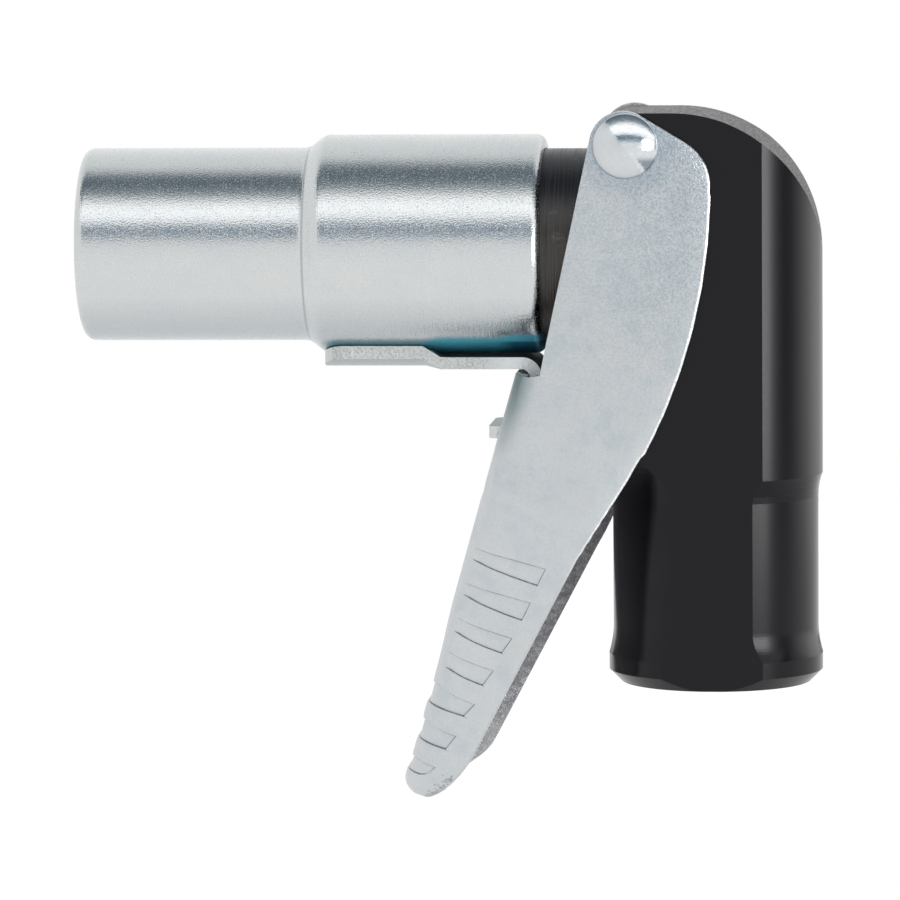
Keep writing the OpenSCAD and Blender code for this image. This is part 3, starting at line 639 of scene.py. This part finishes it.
def anodised():
    """Black anodised aluminium with a faint satin grain, and a thread cut through it."""
    s = Surface("black_anodised")
    grain = s.noise(5.0)
    cloud = s.noise(0.2, detail=3.0)
    s.colour = s.mix(s.spread(cloud), *ANODISED)
    # The rounded top was milled and brushed, so it is rougher
    _, facing, upward = s.split(s.normal)
    top = s.times(s.remap(upward, 0.05, 0.15), s.remap(s.size(facing), 0.25, 0.1))
    brush = s.noise((5.0, 0.25, 5.0), detail=3.0, rough=0.7)
    s.bump(grain, 0.006, 0.4)
    s.bump(s.times(brush, top), 0.02, 0.6)
    inside, tooth = inlet_thread(s)
    s.bump(s.times(tooth, inside), 0.9, 1.0)
    s.tint(s.times(inside, s.remap(tooth, 0.10, 0.35, 0.6, 1.0)), CUT_THREAD)
    brushed = s.times(top, s.spread(brush, 0.12, 0.26))
    rough = s.plus(s.spread(grain, 0.17, 0.21), brushed, s.times(inside, 0.15))
    return s.finish(rough, metal=inside, ior=ANODISED_IOR)


def dark_steel():
    """Dark turned neck: rings, a blue-black top, a browner middle, rubbed spots."""
    s = Surface("dark_steel")
    rings = s.noise((7.0, 0.1, 0.1), rough=0.7)
    down = s.remap(s.z, *NECK_Z)
    low, high = (s.mix(down, top, middle) for top, middle in zip(NECK_TOP, NECK_MIDDLE))
    s.colour = s.mix(s.spread(rings), low, high)
    rub = s.noise((0.6, 0.8, 1.6), detail=4.0, rough=0.6)
    s.tint(s.remap(rub, 0.58, 0.74, 0.0, 0.28), NECK_RUBBED)
    rough = s.spread(rings, 0.28, 0.42)
    s.bump(rings, 0.05)
    return s.finish(rough, metal=0.6)


def rivet_zinc():
    """Polished plate over a pressed head."""
    s = Surface("rivet_zinc")
    grain = s.noise(2.5, detail=3.0, rough=0.6)
    s.colour = s.mix(s.spread(grain), *RIVET_ZINC)
    # The die left the lower left of the heads dull, and the rest bright
    x, _, z = s.split(s.vector("SUBTRACT", s.place, tuple(PIVOT)))
    slant = s.plus(s.slant(x, z), s.spread(grain, -0.15, 0.15))
    dull = s.remap(slant, *RIVET_DULL_SLANT)
    # Painted dark reflection, low on the heads' right side
    tinted_area = s.times(s.remap(z, *RIVET_REFLECTION_Z), s.remap(slant, *RIVET_REFLECTION_SLANT))
    s.tint(tinted_area, RIVET_PAINTED_REFLECTION, 0.8)
    s.tint(dull, RIVET_DULL, 0.5)
    rough = s.plus(s.remap(grain, 0.35, 0.7, 0.06, 0.14), s.times(dull, 0.28))
    s.bump(grain, 0.03, 0.5)
    return s.finish(rough)


def plain_metal(name, colours, rough_low, rough_high):
    """Metal with grain and slow colour change, for the small pieces."""
    s = Surface(name)
    grain = s.noise(5.0, detail=3.0, rough=0.6)
    s.colour = s.mix(s.remap(grain, 0.25, 0.75), *colours)
    rough = s.spread(grain, rough_low, rough_high)
    s.bump(grain, 0.02, 0.5)
    return s.finish(rough)


def rubber():
    """Matt black rubber, for the seals."""
    s = Surface("rubber")
    grain = s.noise(8.0, detail=3.0, rough=0.6)
    s.colour = s.mix(grain, *RUBBER)
    rough = s.spread(grain, 0.5, 0.7)
    s.bump(grain, 0.03, 0.5)
    return s.finish(rough, metal=0.0)


def dress_nodes():
    """Give every CAD solid its material."""
    strap = strap_zinc()
    hard = plain_metal("hard_steel", ((0.30, 0.30, 0.31), (0.40, 0.40, 0.41)), 0.25, 0.4)
    spring = plain_metal("spring_steel", ((0.42, 0.43, 0.44), (0.55, 0.56, 0.57)), 0.2, 0.35)
    brass = plain_metal("brass", ((0.62, 0.45, 0.20), (0.74, 0.55, 0.27)), 0.2, 0.35)
    seal = rubber()
    looks = {
        "body": anodised(), "barrel": dark_steel(), "lock_sleeve": turned_zinc(),
        "lever": lever_zinc(), "hook_strap": strap, "nose_washer": strap,
        "pivot_rivet": rivet_zinc(),
        "cam_ring": hard, "jaw_1": hard, "jaw_2": hard, "jaw_3": hard,
        "sleeve_spring": spring, "poppet_spring": spring, "expander_ring": spring,
        "retaining_ring": plain_metal("black_ring", ((0.02, 0.02, 0.022), (0.04, 0.04, 0.042)), 0.3, 0.45),
        "poppet": brass, "spring_plug": brass,
        "barrel_seal": seal, "valve_seal": seal, "poppet_seal": seal,
    }
    for name, material in looks.items():
        data = NODES[name].data
        data.materials.clear()
        data.materials.append(material)


# ---- Lever ----

# Millimetres in the lever's frame: X out from the web, Y across it, Z up it from the rivet
SHEET_T = 1.2
CHEEK_OUT = 11.15
WEB_OUT = -4.6
WEB_TOP = -25.5
WEB_BOW = 0.22
WEB_BOW_FROM = (-50, -59)
WEB_BOW_TO = (-66, -68.5)
BEND_R = 3.6
BEND_SHARE = 0.62
ROLL_R = 0.22
SLOT = (-33.26, -29.36)
SLOT_HALF = 5.4

# The cheeks' outline: round crown, slope, corner, long arc, and points down the handle
CROWN_R = 3.4
CROWN_X = -0.25
CROWN_END = 3.2
SLOPE = 3.79
SLOPE_X, SLOPE_Z = 6.0, 1.87
CORNER_R, CORNER_X, CORNER_Z = 5.0, 4.49, -2.9
CORNER_END = -2.6
HEEL_R, HEEL_X, HEEL_Z = 58.0, 11.6, -17.6
HEEL_REACH = 20.0
HEEL_END = -30.0
BACK = [(-25.5, 11.1), (-32.1, 9.54), (-42.3, 6.54), (-64.0, 1.96), (-65.4, 1.62),
        (-66.8, 1.10), (-68.0, 0.50), (-69.2, -0.20), (-70.1, -0.95), (-70.9, -1.9)]
FRONT_X = -3.65
FRONT_RUN, FRONT_RISE = 1.65, 25.3
# The far cheek stands out further along the handle
FAR_EXTRA = 1.1
FAR_FROM = (-32, -42.5)
FAR_TO = (-65, -70)

# The handle's width, which tapers below the crease to a rounded tip
CREASE = 38.0
TAPER = math.tan(math.radians(8.05))
TAPER_BLEND = 0.5
TIP = -70.9
TIP_CENTRE = (-2.4, -68.7)
TIP_R = 2.2
TIP_CORNER = 4.0
# Width of the flat strip between web and cheek, at depths below the rivet
STRIP_AT = [33, 34.8, 38.7, 40.2, 44.6, 47.7, 51.3, 55.7, 58]
STRIP_W = [0.0, 0.5, 1.42, 1.18, 0.87, 0.75, 0.46, 0.25, 0.0]

GROOVE_PITCH = 3.8
GROOVE_TOPS = [-44.0 - GROOVE_PITCH * i for i in range(7)]
GROOVE_H = 1.2
GROOVE_DEPTH = 0.16
GROOVE_DEEPER = 1.25
GROOVE_WALL = 0.05
GROOVE_INSET = 0.72
# Length from the rear edge at which each groove ends, and its growth from top to bottom
GROOVE_END = (2.4, 2.15, 2.15, 2.3, 2.4, 2.6, 2.75)
GROOVE_SLANT = (0.0, 0.0, 0.30, 0.34, 0.50, 0.38, 0.0)
# How far each groove's corners stand from its nominal top and bottom
TOP_RIGHT = (0.45, 0.40, 0.10, 0.10, -0.08, -0.08, -0.10)
TOP_LEFT = (0.36, 0.36, 0.44, 0.57, 0.62, 0.41, 0.10)
LOW_RIGHT = (-0.30, -0.44, -0.55, -0.57, -0.47, -0.58, -0.25)
LOW_LEFT = (0.41, 0.43, 0.26, 0.16, -0.42, -0.55, -0.25)
SHIFT_START = -40.5
SHIFT_POWER = 1.6
# Upper grooves, which run out softly toward the bend
SOFT_GROOVES = 4
LAST_GROOVE = 6
LAST_BOW = 0.50
SCORE = 0.03
SCORE_W = 0.07
RIB_H = 0.08
# Crease line across the cheek, and the dent above it
CREASE_X = [-3.1, 0.3, 2.2, 3.5]
CREASE_Z = [-38.0, -38.4, -39.5, -39.2]
CREASE_DEPTH, CREASE_W = 0.07, 0.55
DENT_DEPTH = 0.20
DENT_X, DENT_RX = -0.4, 2.7
DENT_Z, DENT_RZ = -34.6, 4.0
# The tip's sheared band
SHEAR_W = 0.75
SHEAR_Z = (-66.2, -67.6)
# How far the web's top edge stands above WEB_TOP, at its round corners
LIFT_X = [-4.6, -2.9, -2.0, -0.8]
LIFT_Z = [0.0, 0.31, 0.8, 0.0]

# Heights where the rows' spacing changes, and the spacing above each
ROW_STEPS = [(SLOT[1], 0.75), (SLOT[0], 0.65), (-35.0, 0.6), (-42.0, 0.35), (-66.0, 0.75), (TIP, 0.22)]
ROW_CLEAR = 0.15
# Columns: on the rolled edge, along a groove's floor, and by the web's centre
EDGE_COLUMNS = np.array([0, 0.025, 0.09, 0.22])
FLOOR_COLUMNS = 21
FLOOR_START = len(EDGE_COLUMNS) + 2
FLOOR_STOP = FLOOR_START + FLOOR_COLUMNS + 1
WEB_COLUMNS = np.array([0, 1.35, 2.7, 4.05, SLOT_HALF, 5.9])
WEB_SHARES = np.array([0, 0.05, 0.1, 0.15, 0.2, 0.24])
WEB_COLUMNS_END = -37


def smooth(a, b, v):
    """0 at a, 1 at b, with a soft start and stop."""
    t = np.clip((np.asarray(v, float) - a) / (b - a), 0, 1)
    return t * t * (3 - 2 * t)


def half_chord(radius, distance):
    """Half a circle's width at a distance from its centre; nothing outside it."""
    return np.sqrt(np.clip(radius**2 - distance**2, 0, None))


def back_edge(z, far_side):
    """x of a cheek's rear edge at height z."""
    z = np.asarray(z, float)
    x = np.interp(-z, [-p[0] for p in BACK], [p[1] for p in BACK])
    arc = HEEL_X - HEEL_R + np.sqrt(HEEL_R**2 - np.clip(z - HEEL_Z, -HEEL_REACH, HEEL_REACH) ** 2)
    x = np.where(z < HEEL_END, x, arc)
    x = np.where(z > CORNER_END, CORNER_X + half_chord(CORNER_R, z - CORNER_Z), x)
    x = np.where(z > SLOPE_Z, SLOPE_X - (z - SLOPE_Z) * SLOPE, x)
    x = np.where(z > CROWN_END, CROWN_X + half_chord(CROWN_R, z), x)
    extra = FAR_EXTRA * smooth(*FAR_FROM, z) * (1 - smooth(*FAR_TO, z)) if far_side else 0.0
    return x + extra


def front_edge(z):
    """x of a cheek's free front edge above the web."""
    z = np.asarray(z, float)
    return np.where(z > 0, CROWN_X - half_chord(CROWN_R, z), FRONT_X - z * FRONT_RUN / FRONT_RISE)


def half_width(z):
    """Half the channel's width over its cheeks at height z."""
    z = np.asarray(z, float)
    half = CHEEK_OUT - TAPER * np.logaddexp(0, (-z - CREASE) / TAPER_BLEND) * TAPER_BLEND
    reach = np.clip(TIP + TIP_CORNER - z, 0, TIP_CORNER)
    return half - (TIP_CORNER - np.sqrt(TIP_CORNER**2 - reach**2))


def edge_gap(points, far_side):
    """Distance from each point to a cheek's rear edge, seen from the side."""
    z = np.linspace(TIP, CROWN_R * 0.999, 900)
    x = back_edge(z, far_side)
    return np.hypot(points[..., 0, None] - x, points[..., 2, None] - z).min(axis=-1)


def edge_roll(points, far_side):
    """How deep the rounded rear edge lies under the outer skin, at each point."""
    t = 1 - np.clip(edge_gap(points, far_side) / ROLL_R, 0, 1)
    return ROLL_R * (1 - np.sqrt(1 - t**2))


def column_lengths(z, last, flat, bend, web_half):
    """A row's columns as lengths from the rear edge, and both ends of its groove."""
    scale = float(np.clip((CHEEK_OUT - TAPER * max(-z - CREASE, 0)) / CHEEK_OUT, 0.1, 1))
    total = flat + bend + web_half
    centre = WEB_COLUMNS
    if z <= WEB_COLUMNS_END:
        centre = np.minimum(WEB_COLUMNS * scale, total * WEB_SHARES * 1.3)
    wall = GROOVE_WALL / 2
    right = min(last, total * 0.3)
    left = flat + bend * (1 - GROOVE_INSET * 2 / math.pi)
    left = min(max(left, right + 0.2 * total), total - centre[-1] - 0.4 * scale)
    edge = EDGE_COLUMNS * min(1.0, right / 1.5)
    edge = np.append(edge, [0.97 * (right - wall), right - wall, right + wall])
    floor = np.linspace(right + wall + SCORE_W, left - wall - SCORE_W, FLOOR_COLUMNS)
    web = np.linspace(left + wall, total - centre[-1], 5)[:-1]
    return np.concatenate([edge, floor, [left - wall], web, total - centre[::-1]]), right, left


def flatten_bend(z, x, turn, web, radius):
    """Press the bend beside the web to a flat strip, which meets the cheek in a ridge."""
    ridge = float(np.arccos(1 - np.interp(-z, STRIP_AT, STRIP_W) / BEND_R))
    if ridge <= 0.02 or z <= TIP + 6:
        return x
    from_web = math.pi / 2 - turn
    inside = (from_web > 0) & (from_web < ridge)
    chord = np.clip(np.sin(from_web) / math.sin(ridge), 0, 1)
    flat_x = web + radius * (1 - math.cos(ridge)) * chord
    return np.where(inside, x + (flat_x - x) * 0.75, x)


def section(z, last, far_side):
    """A row of the outer skin: x, y and lengths of columns, flat and bend, groove's ends."""
    half = float(half_width(z))
    web = WEB_OUT + WEB_BOW * float(smooth(*WEB_BOW_FROM, z) * (1 - smooth(*WEB_BOW_TO, z)))
    if z < TIP_CENTRE[1]:
        web = TIP_CENTRE[0] - float(half_chord(TIP_R, z - TIP_CENTRE[1]))
    back = float(back_edge(z, far_side))
    radius = max(min(BEND_R, (back - web) * BEND_SHARE, half * BEND_SHARE), 0.02)
    flat = back - web - radius
    bend = radius * math.pi / 2
    s, right, left = column_lengths(z, last, flat, bend, half - radius)
    turn = np.clip((s - flat) / radius, 0, math.pi / 2)
    x = np.where(s < flat, back - s, web + radius - radius * np.sin(turn))
    y = np.where(s < flat, half, half - radius + radius * np.cos(turn))
    y = np.where(s > flat + bend, half - radius - (s - flat - bend), y)
    return flatten_bend(z, x, turn, web, radius), y, s, (flat, bend), (right, left)


def lever_rows():
    """Rows down the web, as height, groove or -1, and whether a scored line lies there."""
    heights = [WEB_TOP]
    for stop, step in ROW_STEPS:
        n = max(1, round((heights[-1] - stop) / step))
        heights += list(np.linspace(heights[-1], stop, n + 1)[1:])
    rows = [(z, -1, False) for z in heights]
    edges = []
    half = GROOVE_WALL / 2
    for i, top in enumerate(GROOVE_TOPS):
        bottom = top - GROOVE_H
        rows = [r for r in rows if not bottom - ROW_CLEAR < r[0] < top + ROW_CLEAR]
        edges += [(top + half, -1, False), (top - half, i, True), (top - half - SCORE_W, i, False)]
        edges += [(top - GROOVE_H / 2, i, False), (bottom + half + SCORE_W, i, False)]
        edges += [(bottom + half, i, True), (bottom - half, -1, False)]
    return sorted(rows + edges, key=lambda r: -r[0])


def groove_end(z, groove):
    """Length from the rear edge at which the grooves end on the cheek, at height z."""
    if groove >= 0:
        return GROOVE_END[groove] + GROOVE_SLANT[groove] * (GROOVE_TOPS[groove] - z) / GROOVE_H
    return float(np.interp(-z, [-top for top in GROOVE_TOPS], GROOVE_END))


def groove_press(groove, scored, s, left):
    """How deep a row's columns lie in its groove, and how strongly each is scored, which sets its painted
    shade.
    """
    count = len(s)
    column = np.arange(count)
    soft = groove < SOFT_GROOVES
    floor = (column >= FLOOR_START) & (column <= (FLOOR_STOP if soft else count - 1)) & (groove >= 0)
    press = np.where(floor, GROOVE_DEPTH * (1.0 if soft else GROOVE_DEEPER), 0.0)
    line = floor * (1.0 if scored else 0.0)
    if groove >= 0:
        line[FLOOR_START] = 0.8
    if soft:
        press = press * (1 - smooth(left - 1.0, left, s))
        line = line * (1 - 0.6 * smooth(left - 0.7, left, s))
    return press + SCORE * line, line


def rib_height(z, groove, s, flat, bend):
    """The ribs between the lowest grooves stand a little proud along the web."""
    top = GROOVE_TOPS[SOFT_GROOVES] - GROOVE_H
    if groove >= 0 or not GROOVE_TOPS[LAST_GROOVE] < z < top:
        return 0.0
    t = ((top - z) % GROOVE_PITCH) / (GROOVE_PITCH - GROOVE_H)
    rib = math.sqrt(max(1 - (2 * min(t, 1) - 1) ** 4, 0))
    return RIB_H * rib * smooth(flat, flat + bend, s)


def groove_shift(z, share):
    """How far a row leaves its height, where share runs from a groove's right end to its left."""
    knots, right, left = [SHIFT_START], [0.0], [0.0]
    for i, top in enumerate(GROOVE_TOPS):
        knots += [top, top - GROOVE_H]
        right += [TOP_RIGHT[i], LOW_RIGHT[i]]
        left += [TOP_LEFT[i], LOW_LEFT[i]]
    knots, right, left = -np.array(knots + [TIP + 0.6]), right + [0.0], left + [0.0]
    at_right, at_left = np.interp(-z, knots, right), np.interp(-z, knots, left)
    return at_right + (at_left - at_right) * np.asarray(share) ** SHIFT_POWER


def row_heights(z, groove, s, right_left):
    """Heights of a row's columns, as grooves lean and the lowest one's bottom curves up."""
    right, left = right_left
    share = np.clip((s - right) / (left - right), 0, 1)
    heights = z + groove_shift(z, share) * smooth(0.1, 0.9 * right, s)
    last_top = GROOVE_TOPS[LAST_GROOVE]
    if groove == LAST_GROOVE or (groove < 0 and abs(z - last_top + GROOVE_H) < 0.05):
        t = np.clip((left - s) / (left - right), 0, 1)
        bow = LAST_BOW * t**4 * smooth(0.0, 0.95 * right, s)
        heights = heights + bow * (last_top - z)
    return heights


def dent(x, z):
    """Depth of the soft dent where the handle starts to lean."""
    hollow = DENT_DEPTH * np.exp(-(((x - DENT_X) / DENT_RX) ** 2) - ((z - DENT_Z) / DENT_RZ) ** 2)
    return hollow * smooth(-4.0, -1.5, x)


def crease(x, z):
    """Depth of the crease under that dent."""
    line = np.interp(x, CREASE_X, CREASE_Z)
    return CREASE_DEPTH * np.exp(-(((z - line) / CREASE_W) ** 2)) * (1 - smooth(2.5, 4.5, x))


def lever_half(far_side):
    """Outer skin of one half: rows down the web, columns from rear edge to web centre.

    Gives points, and for each its depth under the plain skin, scored line and shear.
    """
    points, depths, lines, shears = [], [], [], []
    for z, groove, scored in lever_rows():
        x, y, s, (flat, bend), ends = section(z, groove_end(z, groove), far_side)
        press, line = groove_press(groove, scored, s, ends[1])
        press = press - rib_height(z, groove, s, flat, bend)
        zz = row_heights(z, groove, s, ends)
        # The skin keeps its shape where a groove's edge leaves the row's own height
        y = y * half_width(zz) / max(float(half_width(z)), 0.1)
        reach = (back_edge(zz, far_side) - WEB_OUT) / (back_edge(z, far_side) - WEB_OUT)
        x = np.where(zz > TIP_CENTRE[1] + 0.5, WEB_OUT + (x - WEB_OUT) * reach, x)
        press = press + dent(x, zz)
        press = press + crease(x, zz)
        points.append(np.stack([x, y if far_side else -y, zz], 1))
        depths.append(press)
        lines.append(line)
        shears.append((1 - smooth(0.0, SHEAR_W, edge_gap(points[-1], far_side))) * smooth(*SHEAR_Z, zz))
    return tuple(np.array(rows) for rows in (points, depths, lines, shears))


def cheek_rows(near, far, kept):
    """Rows of both cheeks above the web, with the same columns between front and rear edge."""
    rise = np.concatenate([np.linspace(0.35, -WEB_TOP - 3, 22), -WEB_TOP - 3 + np.linspace(0.4, 5, 12)])
    crown = CROWN_R * np.sin(np.radians(np.linspace(36, 89.5, 24)))
    heights = np.sort(np.concatenate([WEB_TOP + rise, crown]))[::-1]
    columns = near.shape[1] + far.shape[1] - 1
    upper = np.zeros((len(heights), columns, 3))
    for side, base in ((-1, near), (1, far)):
        share = (base[0, :kept, 0] - base[0, kept - 1, 0]) / (base[0, 0, 0] - base[0, kept - 1, 0])
        for i, z in enumerate(heights):
            front, back = float(front_edge(z)), float(back_edge(z, False))
            x = front + (back - front) * share
            row = np.stack([x, np.full(kept, side * CHEEK_OUT), np.full(kept, z)], 1)
            if side < 0:
                upper[i, :kept] = row
            else:
                upper[i, -kept:] = row[::-1]
    return upper


def web_lift(points, row):
    """Height to add, so that the web's top edge, the row, is round at its corners."""
    above = 1 - smooth(0.0, 4.0, points[..., 2] - WEB_TOP)
    below = 1 - smooth(0.0, 2.5, WEB_TOP - points[..., 2])
    share = np.where(points[..., 2] > WEB_TOP, above, below)
    return np.interp(row[:, 0], LIFT_X, LIFT_Z)[None] * share


def grid_normals(p):
    """Normals of a grid of points."""
    du = np.gradient(p, axis=1)
    dv = np.gradient(p, axis=0)
    n = np.cross(dv, du)
    length = np.linalg.norm(n, axis=2, keepdims=True)
    return n / np.maximum(length, 1e-9)


def outward_normals(full, skin, near_columns):
    """Normals out of the channel: along Y above the web, the skin's own below."""
    top = len(full) - len(skin)
    normals = np.zeros_like(full)
    normals[top:] = grid_normals(skin)
    normals[:top, :near_columns] = (0, -1, 0)
    normals[:top, near_columns:] = (0, 1, 0)
    outward = np.sign(np.sum(normals[:, 0] * full[:, 0] * (0, 1, 0), axis=1))[:, None, None]
    return normals * np.where(outward == 0, 1, outward)


def live_cells(full, top, kept):
    """Cells that are sheet: not those between the cheeks, nor those in the strap's slot."""
    rows, cols = full.shape[:2]
    live = np.ones((rows - 1, cols - 1), bool)
    live[:top, kept - 1:cols - kept] = False
    centre = (full[:-1, :-1] + full[1:, 1:]) / 2
    y, z = centre[..., 1], centre[..., 2]
    return live & ~((z < SLOT[1]) & (z > SLOT[0]) & (np.abs(y) < SLOT_HALF))


OUTER, RIM, INNER, EDGE = range(4)
SHEET_LOOKS = (lever_zinc, sheared_zinc, inner_zinc, edge_zinc)


def sheet_faces(live):
    """Faces of both skins and of the rims between them, and each face's look."""
    rows, cols = live.shape[0] + 1, live.shape[1] + 1
    shift = rows * cols
    index = np.arange(shift).reshape(rows, cols)
    outside, inside, rims, kinds = [], [], [], []
    for r, c in zip(*np.nonzero(live)):
        a, b, d, e = index[r, c], index[r, c + 1], index[r + 1, c + 1], index[r + 1, c]
        outside.append((a, e, d, b))
        kinds.append(EDGE if c < 3 or c > cols - 5 else OUTER)
        inside.append((a + shift, b + shift, d + shift, e + shift))
        for (dr, dc), (p, q) in (((-1, 0), (a, b)), ((0, 1), (b, d)), ((1, 0), (d, e)), ((0, -1), (e, a))):
            nr, nc = r + dr, c + dc
            if not (0 <= nr < rows - 1 and 0 <= nc < cols - 1 and live[nr, nc]):
                rims.append((p, q, q + shift, p + shift))
    return outside + inside + rims, kinds + [INNER] * len(inside) + [RIM] * len(rims)


def lever_to_part(p):
    """From the lever's frame in millimetres to the part's frame in metres."""
    c, s = math.cos(WEB_ANGLE), math.sin(WEB_ANGLE)
    x, y, z = p[..., 0], p[..., 1], p[..., 2]
    return np.stack([PIVOT.x + x * c + z * s, PIVOT.y + y, PIVOT.z - x * s + z * c], -1) * MM


def sheet_mesh(outer, inner, live, marks):
    """The welded sheet between both skins, with marks on the outer one."""
    faces, kinds = sheet_faces(live)
    points = lever_to_part(np.concatenate([outer.reshape(-1, 3), inner.reshape(-1, 3)]))
    mesh = bpy.data.meshes.new("lever_sheet")
    mesh.from_pydata([tuple(v) for v in points], [], faces)
    mesh.polygons.foreach_set("material_index", kinds)
    for key, values in marks.items():
        attribute = mesh.attributes.new(key, "FLOAT", "POINT")
        attribute.data.foreach_set("value", np.concatenate([values.ravel(), np.zeros(values.size)]))
    work = bmesh.new()
    work.from_mesh(mesh)
    bmesh.ops.delete(work, geom=[v for v in work.verts if not v.link_faces], context="VERTS")
    bmesh.ops.remove_doubles(work, verts=work.verts, dist=0.004 * MM)
    fill_mesh(work, mesh)
    shade(mesh, 32)
    return mesh


def make_lever():
    """The pressed channel, with grooves, slot, rolled edges and rounded tip."""
    near, far = lever_half(False), lever_half(True)
    skin, press, line, shear = (np.concatenate([n, f[:, -2::-1]], axis=1) for n, f in zip(near, far))
    # The cheeks above the web keep only the columns in front of this x
    kept = int(np.sum(near[0][0, :, 0] > -2.05))
    upper = cheek_rows(near[0], far[0], kept)
    top = len(upper)
    upper[:, kept:-kept] = skin[0, kept:-kept]
    full = np.concatenate([upper, skin])
    full[..., 2] += web_lift(full, skin[0])
    normals = outward_normals(full, skin, near[0].shape[1])
    press = np.concatenate([dent(full[:top, :, 0], full[:top, :, 2]), press])
    roll = np.zeros(full.shape[:2])
    roll[:, :5] = edge_roll(full[:, :5], False)
    roll[:, -5:] = edge_roll(full[:, -5:], True)
    outer = full - normals * (press + roll)[..., None]
    # The sheet thins to its sheared tip
    thick = np.minimum(SHEET_T, 0.35 + 0.45 * np.clip(full[..., 2] - TIP, 0, None))
    inner = full - normals * (thick + np.minimum(press, 0.1))[..., None]
    blank = np.zeros(upper.shape[:2])
    marks = {"line": np.concatenate([blank, line]), "shear": np.concatenate([blank, shear])}
    lever = add_object("lever_sheet", sheet_mesh(outer, inner, live_cells(full, top, kept), marks))
    for look in SHEET_LOOKS:
        lever.data.materials.append(look())
    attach(lever, "lever")
    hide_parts("lever")


# ---- Rivet ----

HEAD_R = 3.3
HEAD_H = 1.45
HEAD_LIP = 0.12
HEAD_CHAMFER = 0.05
SHANK_R = 2.0


def lathe(name, profile, sides=72):
    """A mesh turned about Y from (y, radius) points, closed on the axis."""
    work = bmesh.new()
    rings = []
    for y, radius in profile[1:-1]:
        turns = [2 * math.pi * i / sides for i in range(sides)]
        rings.append([work.verts.new((radius * math.cos(a), y, radius * math.sin(a))) for a in turns])
    ends = [work.verts.new((0, profile[0][0], 0)), work.verts.new((0, profile[-1][0], 0))]
    for i in range(sides):
        j = (i + 1) % sides
        work.faces.new((ends[0], rings[0][j], rings[0][i]))
        work.faces.new((ends[1], rings[-1][i], rings[-1][j]))
        for low, high in zip(rings, rings[1:]):
            work.faces.new((low[i], low[j], high[j], high[i]))
    return fill_mesh(work, bpy.data.meshes.new(name))


def make_rivet():
    """Domed heads with a pressed lip, joined by the shank."""
    crown = HEAD_H - HEAD_LIP
    sphere = (HEAD_R**2 + crown**2) / (2 * crown)
    half = [(CHEEK_OUT, SHANK_R), (CHEEK_OUT, HEAD_R - HEAD_CHAMFER), (CHEEK_OUT + 0.03, HEAD_R)]
    for radius in np.linspace(HEAD_R, 0.05, 22):
        rise = HEAD_H - sphere + math.sqrt(sphere**2 - radius**2)
        half.append((CHEEK_OUT + rise, float(radius)))
    half.append((CHEEK_OUT + HEAD_H, 0.0))
    profile = [(-y, r) for y, r in reversed(half)] + half
    rivet = add_object("rivet", lathe("rivet", [(y * MM, r * MM) for y, r in profile]))
    rivet.data.transform(Matrix.Translation(PIVOT * MM))
    shade(rivet.data, 60)
    rivet.data.materials.append(rivet_zinc())
    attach(rivet, "lever")
    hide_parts("pivot_rivet")


# ---- Springs ----

# Both ends along the barrel, mean radius, wire, turns, joint, and share of length kept when pressed
SPRINGS = {
    "sleeve_spring": (26.5, 39.1, 9.15, 1.1, 6.0, "sleeve_slide", 0.70),
    "poppet_spring": (30.95, 41.25, 2.25, 0.45, 7.0, "poppet_slide", 0.854),
}
CLOSED_TURNS = 0.9
PER_TURN = 40
AROUND = 12


def coil_lift(t, closed, wire, rise):
    """Height of the wire at share t of its turns; both ends lie closed."""
    if t < closed:
        return t / closed * wire * 0.5
    if t > 1 - closed:
        return rise - (1 - t) / closed * wire * 0.5
    return wire * 0.5 + (rise - wire) * (t - closed) / (1 - 2 * closed)


def coil_mesh(name, start, end, radius, wire, turns):
    """Round wire wound about the barrel's axis."""
    count = int(turns * PER_TURN)
    work = bmesh.new()
    rings = []
    for i in range(count + 1):
        lift = coil_lift(i / count, CLOSED_TURNS / turns, wire, end - start - wire)
        a = 2 * math.pi * (i / count) * turns
        ring = []
        for k in range(AROUND):
            b = 2 * math.pi * k / AROUND
            r = radius + wire / 2 * math.cos(b)
            x = -(start + wire / 2 + lift + wire / 2 * math.sin(b))
            place = (x * MM, r * math.sin(a) * MM, (BARREL_Z + r * math.cos(a)) * MM)
            ring.append(work.verts.new(place))
        rings.append(ring)
    for low, high in zip(rings, rings[1:]):
        for k in range(AROUND):
            n = (k + 1) % AROUND
            work.faces.new((low[k], low[n], high[n], high[k]))
    work.faces.new(rings[0])
    work.faces.new(rings[-1])
    return fill_mesh(work, bpy.data.meshes.new(name))


def make_springs():
    """Both coils, wound about the barrel in place of the CAD springs."""
    for name, (start, end, radius, wire, turns, joint, keep) in SPRINGS.items():
        mesh = coil_mesh(name + "_coil", start, end, radius, wire, turns)
        shade(mesh, 50)
        mesh.materials.append(NODES[name].data.materials[0])
        coil = add_object(name + "_coil", mesh)
        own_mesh(coil)
        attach(coil, "root")
        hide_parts(name)


# ---- Bevels ----

# Width of the broken edges, in millimetres
BEVELS = {"hook_strap": 0.24, "body": 0.12, "nose_washer": 0.10}
BEVEL_ANGLE = math.radians(40)


def round_edges():
    """Break the CAD solids' sharp edges that show, as tumbling does."""
    for name, width in BEVELS.items():
        bevel = NODES[name].modifiers.new("edges", "BEVEL")
        bevel.limit_method = "ANGLE"
        bevel.angle_limit = BEVEL_ANGLE
        bevel.width = width * MM
        bevel.segments = 3
        bevel.harden_normals = True


add_camera()
add_world()
add_floor()
dress_nodes()
make_lever()
make_rivet()
make_springs()
round_edges()

SCENE.view_settings.view_transform = "Standard"
